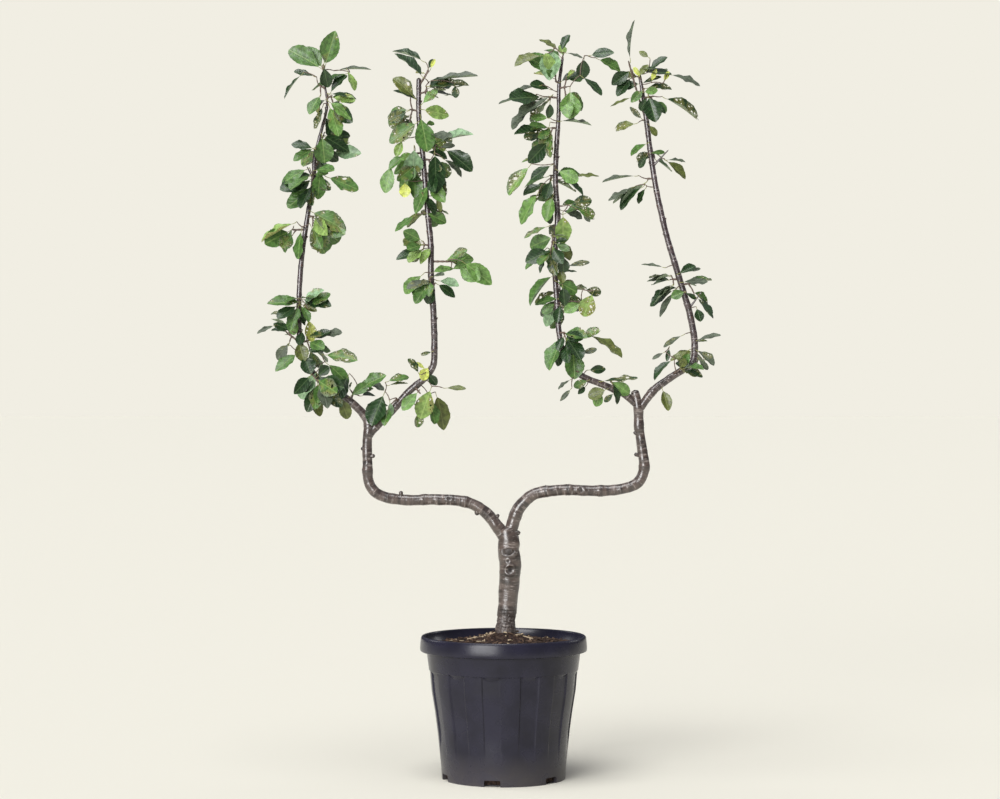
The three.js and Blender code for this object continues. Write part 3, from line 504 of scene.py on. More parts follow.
@dataclass
class Run:
    """A run of wood: a smooth path through stations, each a place in millimetres and a diameter."""

    stations: tuple[Station, ...]
    DIVISIONS: ClassVar[int] = 10
    STEP: ClassVar[float] = 1e-4

    def __post_init__(self) -> None:
        """Samples the path, with its directions, radii and distances from its foot."""
        marks = np.array(self.stations, dtype=float)
        self.marks = marks[:, :3]
        count = (len(marks) - 1) * self.DIVISIONS
        shares = np.arange(count + 1) / count
        self.places = np.array([self.point(share) for share in shares])
        self.directions = np.array([
            unit(self.point(min(share + self.STEP, 1.0)) - self.point(max(share - self.STEP, 0.0)))
            for share in shares])
        steps = np.linalg.norm(np.diff(self.places, axis=0), axis=1)
        self.travelled = np.concatenate([[0.0], np.cumsum(steps)])
        self.radii = np.interp(np.arange(count + 1) / self.DIVISIONS, np.arange(len(marks)), marks[:, 3]) / 2
        self.length = float(self.travelled[-1])

    def point(self, share: float) -> Array:
        """Returns the place at a share of the path, on a centripetal Catmull-Rom curve."""
        last = len(self.marks) - 1
        index = min(int(last * share), last - 1)
        weight = last * share - index
        second, third = self.marks[index], self.marks[index + 1]
        first = self.marks[index - 1] if index > 0 else 2 * second - third
        fourth = self.marks[index + 2] if index + 2 <= last else 2 * third - second
        before, span, after = (
            math.sqrt(np.linalg.norm(b - a)) for a, b in ((first, second), (second, third), (third, fourth)))
        leaving = span * (
            (second - first) / before - (third - first) / (before + span) + (third - second) / span)
        arriving = span * (
            (third - second) / span - (fourth - second) / (span + after) + (fourth - third) / after)
        square = -3 * second + 3 * third - 2 * leaving - arriving
        cube = 2 * second - 2 * third + leaving + arriving
        return second + leaving * weight + square * weight ** 2 + cube * weight ** 3

    def at(self, distance: float) -> tuple[Array, Array, float]:
        """Returns the place, direction and radius at a distance from the foot."""
        last = len(self.places) - 1
        i = int(np.searchsorted(self.travelled[1:last], distance, side="left"))
        share = (distance - self.travelled[i]) / (self.travelled[i + 1] - self.travelled[i])
        kept = clamp(share, 0.0, 1.0)
        direction = unit(lerp(self.directions[i], self.directions[i + 1], kept))
        return lerp(self.places[i], self.places[i + 1], share), direction, lerp(
            self.radii[i], self.radii[i + 1], kept)

    def distance_at(self, height: float) -> float:
        """Returns the distance from the foot at which the run first reaches a height."""
        above = np.nonzero(self.places[:, 2] >= height)[0]
        if len(above) == 0:
            return self.length
        i = int(above[0])
        if i == 0:
            return 0.0
        low, high = self.places[i - 1][2], self.places[i][2]
        return lerp(self.travelled[i - 1], self.travelled[i], (height - low) / (high - low))


TRUNK = Run((
    (4.5, 0, 246, 39), (4, 0, 274, 35.5), (5.4, 0, 293, 33), (8.2, 0, 330, 35), (10.6, 0, 367, 38),
    (11.9, 0, 395, 39), (9.1, 0, 423, 37.5), (9.5, 0, 445, 37), (5, 0, 466, 30)))
LEFT_ARM = Run((
    (6, 0, 440, 26), (-12, 0, 467, 23), (-30, 0, 489, 21), (-62, 1, 509, 20), (-118, 2, 516.5, 20),
    (-174, 2, 515, 19.5), (-211, 1, 519, 19.5), (-239, 0, 530, 20), (-250.5, 0, 549, 19),
    (-253, 0, 590, 18), (-253, 0, 627, 18.5), (-251, 0, 658, 18), (-264, -1, 679, 15),
    (-300, -3, 710, 13.5), (-341, -4, 738, 12.5), (-367, -4, 772, 11.5), (-378, -2, 815, 10.5),
    (-380, 0, 877, 9.8), (-376, 3, 955, 9.3), (-366, 6, 1033, 9), (-353, 7, 1113, 8.2),
    (-351, 7, 1152, 8), (-341, 6, 1193, 6.2), (-328, 4, 1250, 4.6), (-332, 2, 1285, 4), (-335, 0, 1318, 3.4)))
LEFT_INNER = Run((
    (-254, 0, 630, 16), (-243, 1, 645, 15.5), (-209, 3, 679, 14), (-175, 5, 718, 13), (-147, 4, 741, 12.8),
    (-131, 2, 764, 12), (-128.5, 0, 800, 11.8), (-130, -3, 860, 11.5), (-134.5, -4, 925, 11.2),
    (-135, -4, 985, 11), (-141, -2, 1050, 10.4), (-146, 0, 1110, 10), (-150, 2, 1156, 9.6),
    (-157, 3, 1220, 9.4), (-157.5, 3, 1300, 9)))
RIGHT_ARM = Run((
    (10, 0, 448, 26), (20, 0, 480, 23), (30, 0, 502, 23), (55, 0, 525.5, 21), (105, -1, 533.5, 20),
    (180, -2, 532.5, 19.8), (225, -1, 537, 19.5), (250, 0, 549, 20.5), (260.5, 0, 572, 19.5),
    (257, 0, 610, 18.5), (251, 0, 655, 18), (249.5, 0, 690, 17.5), (242.5, 0, 720, 14)))
RIGHT_INNER = Run((
    (250, 0, 690, 15), (222, -1, 713, 13), (180, -3, 731, 12), (143, -4, 747, 11.5), (113, -3, 783, 10.8),
    (103.5, -1, 822, 10.2), (99, 2, 887, 10.2), (95, 4, 955, 10.2), (100, 5, 1040, 10.2),
    (96.5, 4, 1111, 9.4), (99, 3, 1182, 9.2), (102, 1, 1225, 7.6), (103, 0, 1285, 6.6), (109.5, 0, 1336, 5)))
RIGHT_OUTER = Run((
    (252, 0, 684, 15.5), (276, 0, 716, 15), (303, 1, 738, 13.5), (332, 2, 757, 13.2), (351, 2, 772, 13),
    (355, 1, 800, 12.5), (347, -1, 855, 12), (325, -3, 930, 11.6), (304, -4, 1000, 11), (286, -3, 1077, 10.4),
    (275, 0, 1143, 10), (266, 2, 1215, 9.6), (257, 1, 1278, 7), (252, 0, 1306, 5)))


@dataclass(frozen=True)
class Snag:
    """A pruning stub, knob or thorny twig: where it starts, where it points and how it tapers."""

    x: float
    z: float
    angle: float
    front: float
    length: float
    root: float
    tip: float
    cut: bool = True

    @property
    def direction(self) -> Array:
        """The way that it points."""
        return seen_from_front(self.angle, self.front)

    def at(self, share: float) -> tuple[Array, float]:
        """Returns the place and the radius at a share of its length."""
        foot = np.array([self.x, 0.0, self.z])
        return foot + self.direction * self.length * share, lerp(self.root, self.tip, share) / 2


class Mark(Enum):
    """The marks that the bark carries."""

    BUMP = "bump"
    SCAR = "scar"
    BAND = "band"
    WOUND = "wound"


@dataclass(frozen=True)
class Knot:
    """A mark in the bark, at the place of the run nearest to x and z, turned about it from the front.

    A bump swells, Mark.SCAR is a ring round a dark hollow, Mark.BAND is a growth ring all round the limb, and
    Mark.WOUND is a wide oval of dark lumps; their dark lies in their hollows, partly the wood's own colour and
    partly painted shade. `around` is in degrees, towards +X on an upright limb.
    """

    x: float
    z: float
    around: float
    size: float
    rise: float
    mark: Mark = Mark.BUMP

    def effect(self, run: Run, distances: Array, around: Array, radii: Array) -> tuple[Array, Array]:
        """Works out what the mark does to the bark about it.

        Args:
            run: the run that it is on.
            distances: each vertex's distance from the run's foot.
            around: each vertex's angle about the run, in radians, 0 at the front.
            radii: the run's radius at each vertex.

        Returns:
            How far it raises each vertex, in millimetres, and how dark it makes it, from 0 to 1.
        """
        nearest = np.hypot(run.places[:, 0] - self.x, run.places[:, 2] - self.z).argmin()
        along = distances - run.travelled[nearest]
        across = ((around - math.radians(self.around) + math.pi) % math.tau - math.pi) * radii
        squash = 1.7 if self.mark is Mark.WOUND else 1
        apart = np.hypot(along * squash, across) / self.size
        # A band's widths are in millimetres along the limb, and the other marks' in the mark's own size
        if self.mark is Mark.BAND:
            shape = hump(along, self.size) - 0.7 * hump(along, 1.2)
            # Darker along the ring's groove: partly the ring's own colour, partly painted shade
            dark = 0.6 * hump(along, 1.3)
        elif self.mark is Mark.WOUND:
            lumps = np.sin(across / 1.9 + 0.8) * np.cos(along / 1.6)
            shape = hump(apart - 0.95, 0.22) + (0.5 * lumps - 0.3) * hump(apart, 1, 4)
            # Darker between the lumps than on them: painted shade between the lumps over the wound's own dark
            # colour
            dark = (0.8 - 0.45 * lumps) * hump(apart, 0.95, 6)
        elif self.mark is Mark.SCAR:
            shape = hump(apart - 0.9, 0.3) - 0.9 * hump(apart, 0.5)
            # Dark in the hollow and on the ring's outer foot: partly the cut wood's own colour, partly painted
            # shade
            dark = np.maximum(hump(apart, 0.55, 4), 0.6 * hump(apart - 1.25, 0.16))
        else:
            shape, dark = hump(apart, 1), np.zeros(len(apart))
        return self.rise * shape, dark


@dataclass(frozen=True)
class Limb:
    """A limb's mesh: a run with its snags, knots and the frame's nodes that it stands for."""

    name: str
    run: Run
    nodes: tuple[str, ...]
    slot: str
    sides: int
    step: float
    ages: tuple[tuple[float, float], ...]
    roughness: tuple[tuple[float, float], ...]
    snags: tuple[Snag, ...] = ()
    knots: tuple[Knot, ...] = ()


LIMBS = (
    Limb("trunk", TRUNK, ("trunk",), "old_bark", 64, 1.5,
         ((0, 1),), ((0, 1), (48, 1), (74, 0.12), (120, 0.05), (165, 0.2), (225, 0.05)),
         (Snag(9, 454, 2, 10, 23, 13, 8), Snag(10, 421, 180, 86, 21.5, 26, 15)),
         (Knot(9, 386.5, 0, 10, 2.2, Mark.SCAR), Knot(9, 420, 0, 14, 2.6, Mark.WOUND),
          Knot(9, 404, -10, 5, 1.2, Mark.SCAR),
          Knot(9, 436, 62, 11, 3.0), Knot(9, 412, 55, 13, 2.2), Knot(9, 424, -60, 12, 1.8),
          Knot(9, 398, 95, 14, 1.8), Knot(8, 445, -80, 14, 1.5), Knot(8, 360, 60, 16, 1.0),
          Knot(8, 340, -70, 14, 1.0), Knot(6, 310, 0, 9, 0.8, Mark.BAND), Knot(4, 268, -80, 16, 2.0),
          Knot(4, 272, 75, 14, 1.8), Knot(8, 370, 170, 14, 1.6), Knot(8, 420, 200, 12, 1.4))),
    Limb("left_arm_and_outer_cordon", LEFT_ARM,
         ("arm_left_level", "arm_left_riser", "left_outer_foot", "left_outer_upright"), "old_bark", 32, 2.0,
         ((0, 1), (330, 0.9), (520, 0.6), (640, 0.15), (1200, 0)),
         ((0, 0.1), (60, 0.05), (300, 0.05), (560, 0)),
         (Snag(-18, 474, 60, 0, 18, 9, 6), Snag(-47, 500, 255, 15, 14, 13, 8),
          Snag(-190, 516, 92, 10, 17, 9, 7), Snag(-253, 595, 12, 20, 16, 9, 7),
          Snag(-253, 610, 175, 20, 13, 10, 6),
          Snag(-354, 1112, 116, 5, 25, 3.6, 2, False), Snag(-354, 1109, 40, -12, 32, 3.6, 1.8, False)),
         (Knot(-146, 512, 0, 5, 1.0, Mark.BAND), Knot(-70, 509, 0, 5, 1.2, Mark.BAND),
          Knot(-100, 514, 20, 6, 0.9, Mark.SCAR), Knot(-12, 470, -20, 7, 1.5), Knot(-30, 489, 60, 7, 1.3),
          Knot(-118, 516, -60, 7, 1.1), Knot(-215, 519, -40, 8, 1.3), Knot(-240, 532, 30, 8, 1.2),
          Knot(-252, 570, 0, 5, 1.0, Mark.BAND), Knot(-252, 585, -30, 6, 0.9, Mark.SCAR),
          Knot(-253, 640, 25, 8, 1.5), Knot(-252, 655, 0, 6, 1.2, Mark.BAND), Knot(-290, 703, 10, 5, 0.8))),
    Limb("left_inner_cordon", LEFT_INNER, ("left_inner_foot", "left_inner_upright"), "young_bark", 28, 2.0,
         ((0, 0.85), (120, 0.45), (220, 0.12), (700, 0)), ((0, 0),),
         (), (Knot(-215, 674, 10, 5, 0.8), Knot(-160, 730, -30, 5, 0.9, Mark.BAND))),
    Limb("right_arm", RIGHT_ARM, ("arm_right_level", "arm_right_riser"), "old_bark", 32, 2.0,
         ((0, 1), (400, 0.9)), ((0, 0.1), (60, 0.05), (300, 0.05), (480, 0.05)),
         (Snag(79, 530, 95, 10, 13.5, 11, 7), Snag(142, 533, 100, 70, 13, 15, 9),
          Snag(259, 598, 172, 15, 18, 9, 7), Snag(254, 638, 168, 10, 14, 10, 6)),
         (Knot(23, 486, 0, 6, 1.5, Mark.BAND), Knot(79, 530, 0, 5, 1.2, Mark.BAND),
          Knot(120, 533, 0, 5, 1.0, Mark.BAND), Knot(142, 533, 0, 8, 1.2, Mark.SCAR),
          Knot(179, 532, 0, 5, 1.1, Mark.BAND), Knot(100, 533, -50, 7, 1.0), Knot(215, 536, 20, 7, 1.1),
          Knot(240, 542, -30, 8, 1.3), Knot(259, 575, 0, 5, 1.0, Mark.BAND), Knot(259, 590, -30, 7, 1.2),
          Knot(256, 622, 20, 6, 1.0, Mark.SCAR), Knot(253, 650, 0, 5, 1.0, Mark.BAND),
          Knot(250, 685, -10, 9, 1.6))),
    Limb("right_inner_cordon", RIGHT_INNER, ("right_inner_foot", "right_inner_upright"),
         "young_bark", 28, 2.0, ((0, 0.85), (120, 0.45), (230, 0.12), (700, 0)), ((0, 0),),
         (), (Knot(205, 720, 0, 5, 0.9, Mark.BAND), Knot(150, 744, 20, 5, 0.8))),
    Limb("right_outer_cordon", RIGHT_OUTER, ("right_outer_foot", "right_outer_upright"),
         "young_bark", 28, 2.0, ((0, 0.85), (110, 0.45), (210, 0.12), (700, 0)), ((0, 0),),
         (Snag(342, 868, 53, 8, 44, 4.2, 2, False), Snag(276, 1134, 46, 14, 44, 4.2, 2, False)),
         (Knot(276, 716, 0, 6, 1.2, Mark.BAND), Knot(320, 750, 10, 5, 0.8))),
)


@dataclass(frozen=True)
class Spur:
    """A fruiting spur, with the part's own numbers for its place, stem and fan, and its leaves' tones.

    Its leaves are dealt the tones in order along the fan, and `eaten` is the share of them with holes.
    """

    name: str
    height: float
    azimuth: float
    rise: float
    stem: float
    reach: float
    fan_from: float
    fan_to: float
    leaves: int
    leaf_length: float
    facing: float
    tones: str
    eaten: float


@dataclass(frozen=True)
class Cordon:
    """An upright with its spurs, from the tip down."""

    name: str
    run: Run
    spurs: tuple[Spur, ...]


CORDONS = (
    Cordon("left_outer", LEFT_ARM, (
        Spur("tip", 1318, 90, 90, 6, 0, 14, 172, 7, 52, 0.55, "LLLMLLL", 0.1),
        Spur("upper_left", 1280, 200, 25, 12, 26, 188, 262, 6, 46, 0.35, "MMDMML", 0.2),
        Spur("upper_right", 1262, 340, 20, 10, 30, -84, 8, 6, 46, 0.7, "DMDMLM", 0.3),
        Spur("high", 1184, 60, 10, 10, 28, 170, 384, 9, 50, 0.75, "MLMDMDMLD", 0.6),
        Spur("middle", 1120, 265, 0, 10, 20, 180, 384, 7, 58, 0.75, "DMDDMDM", 0.4),
        Spur("lower_right", 1042, 335, 0, 10, 22, -82, -22, 5, 58, 0.8, "MMLMM", 0.9),
        Spur("lower_left", 1018, 165, 0, 22, 14, 205, 248, 5, 50, 0.5, "MDMGM", 0.5),
        Spur("low", 886, 280, 15, 10, 14, 176, 394, 7, 54, 0.45, "MDMMGDM", 0.6),
        Spur("bottom_left", 806, 160, 35, 28, 20, 140, 246, 6, 38, 0.25, "MDMDMG", 0.4),
        Spur("bottom_right", 808, 345, 10, 12, 30, -84, 12, 7, 48, 0.6, "YMDGMMD", 0.5),
        Spur("foot_outer", 752, 270, -10, 14, 34, 222, 352, 8, 50, 0.8, "DDMDGDMD", 0.4),
        Spur("foot_inner", 698, 70, 50, 20, 18, 0, 74, 5, 38, 0.5, "DMMDM", 0.5))),
    Cordon("left_inner", LEFT_INNER, (
        Spur("tip", 1284, 5, 58, 28, 4, 62, 178, 6, 54, 0.4, "DYDYMD", 0.1),
        Spur("upper_right", 1270, 350, 12, 12, 12, -14, 42, 5, 66, 0.2, "GDGDM", 0.7),
        Spur("upper_left", 1238, 185, 10, 12, 34, 150, 252, 8, 48, 0.65, "MMDMMDMM", 0.9),
        Spur("high_right", 1212, 12, 5, 10, 24, -64, 20, 6, 54, 0.55, "BLGMLM", 0.4),
        Spur("middle_left", 1160, 205, -5, 12, 32, 188, 282, 7, 48, 0.8, "BBMBMMO", 0.3),
        Spur("middle_right", 1148, 338, -5, 10, 28, -88, -16, 5, 58, 0.75, "DDDMD", 0.3),
        Spur("middle", 1064, 95, 0, 10, 16, 204, 354, 6, 44, 0.5, "OBBMMD", 0.3),
        Spur("low_left", 988, 190, 5, 10, 14, 150, 238, 5, 42, 0.7, "MLMML", 0.3),
        Spur("low_right", 958, 5, 0, 42, 0, -42, 22, 5, 48, 0.65, "BBMBB", 0.2),
        Spur("low", 926, 265, 0, 10, 8, 194, 356, 7, 44, 0.5, "GMGMMDG", 0.5),
        Spur("foot_right", 726, 300, -30, 20, 16, 222, 358, 7, 56, 0.8, "OMBBMBD", 0.4),
        Spur("foot_left", 697, 250, 25, 12, 28, 80, 264, 8, 40, 0.65, "MMMDMDDM", 0.5))),
    Cordon("right_inner", RIGHT_INNER, (
        Spur("tip", 1334, 90, 90, 6, 0, -18, 200, 7, 40, 0.45, "LLMLLML", 0.2),
        Spur("upper_left", 1290, 205, 15, 6, 16, 106, 182, 5, 52, 0.8, "LLMLL", 0.1),
        Spur("upper_right", 1280, 335, 5, 12, 28, -86, 36, 8, 46, 0.6, "BMBMMBLM", 0.4),
        Spur("high_left", 1262, 185, 5, 18, 10, 182, 232, 6, 58, 0.15, "DDGDDG", 0.3),
        Spur("middle_left", 1206, 200, 0, 10, 22, 166, 268, 7, 50, 0.65, "MDMMDMM", 0.6),
        Spur("middle", 1118, 130, 5, 12, 30, 186, 400, 9, 54, 0.65, "MMOMDBBMB", 0.6),
        Spur("lower", 1056, 70, 0, 10, 20, 236, 394, 7, 48, 0.7, "DGDMGMD", 0.9),
        Spur("low_middle", 994, 240, 0, 12, 26, 196, 376, 8, 42, 0.55, "DMDDDMDM", 0.3),
        Spur("low", 904, 60, 5, 14, 24, 190, 382, 8, 48, 0.6, "OGMODMGO", 0.8),
        Spur("bottom", 826, 300, 0, 16, 14, 232, 372, 6, 60, 0.6, "DDGDMD", 0.6),
        Spur("foot_outer", 757, 290, -10, 14, 26, 212, 422, 10, 44, 0.75, "DDMBDMBBDM", 0.4),
        Spur("foot_inner", 723, 280, 10, 12, 22, 234, 376, 8, 42, 0.65, "MMDMMDMM", 0.3))),
    Cordon("right_outer", RIGHT_OUTER, (
        Spur("tip", 1306, 90, 90, 6, 0, -16, 96, 6, 50, 0.45, "DMDYDM", 0.0),
        Spur("side_shoot", 1216, 181, 73.5, 114, 0, 86, 206, 9, 58, 0.5, "DDMDDDMDL", 0.2),
        Spur("upper_right", 1262, 330, 5, 18, 14, -100, -8, 6, 62, 0.6, "DMDMDM", 0.6),
        Spur("high", 1160, 60, 10, 12, 26, 196, 432, 9, 40, 0.45, "DMDGDMDMD", 0.4),
        Spur("middle", 1112, 180, 0, 10, 8, 183, 228, 6, 60, 0.15, "GDGDGG", 0.2),
        Spur("low_left", 925, 180, 0, 10, 24, 176, 240, 7, 44, 0.15, "GDGGDMG", 0.2),
        Spur("low_right", 915, 0, 8, 12, 22, -60, 30, 7, 44, 0.3, "DMGDDMG", 0.4),
        Spur("bottom", 804, 90, 0, 10, 16, 202, 376, 8, 40, 0.45, "OMODMOGM", 0.6),
        Spur("foot", 746, 285, 25, 12, 22, -130, 94, 9, 38, 0.55, "OGMODMGMO", 0.7))),
)


@dataclass(frozen=True)
class Sprig:
    """A leaf that the photograph shows by itself: where its blade starts and ends and how wide it looks.

    The places are the photograph's pixels. `look` is the leaf's tone and how eaten it is, from 0 to 2.
    """

    base_x: float
    base_y: float
    tip_x: float
    tip_y: float
    width: float
    look: str


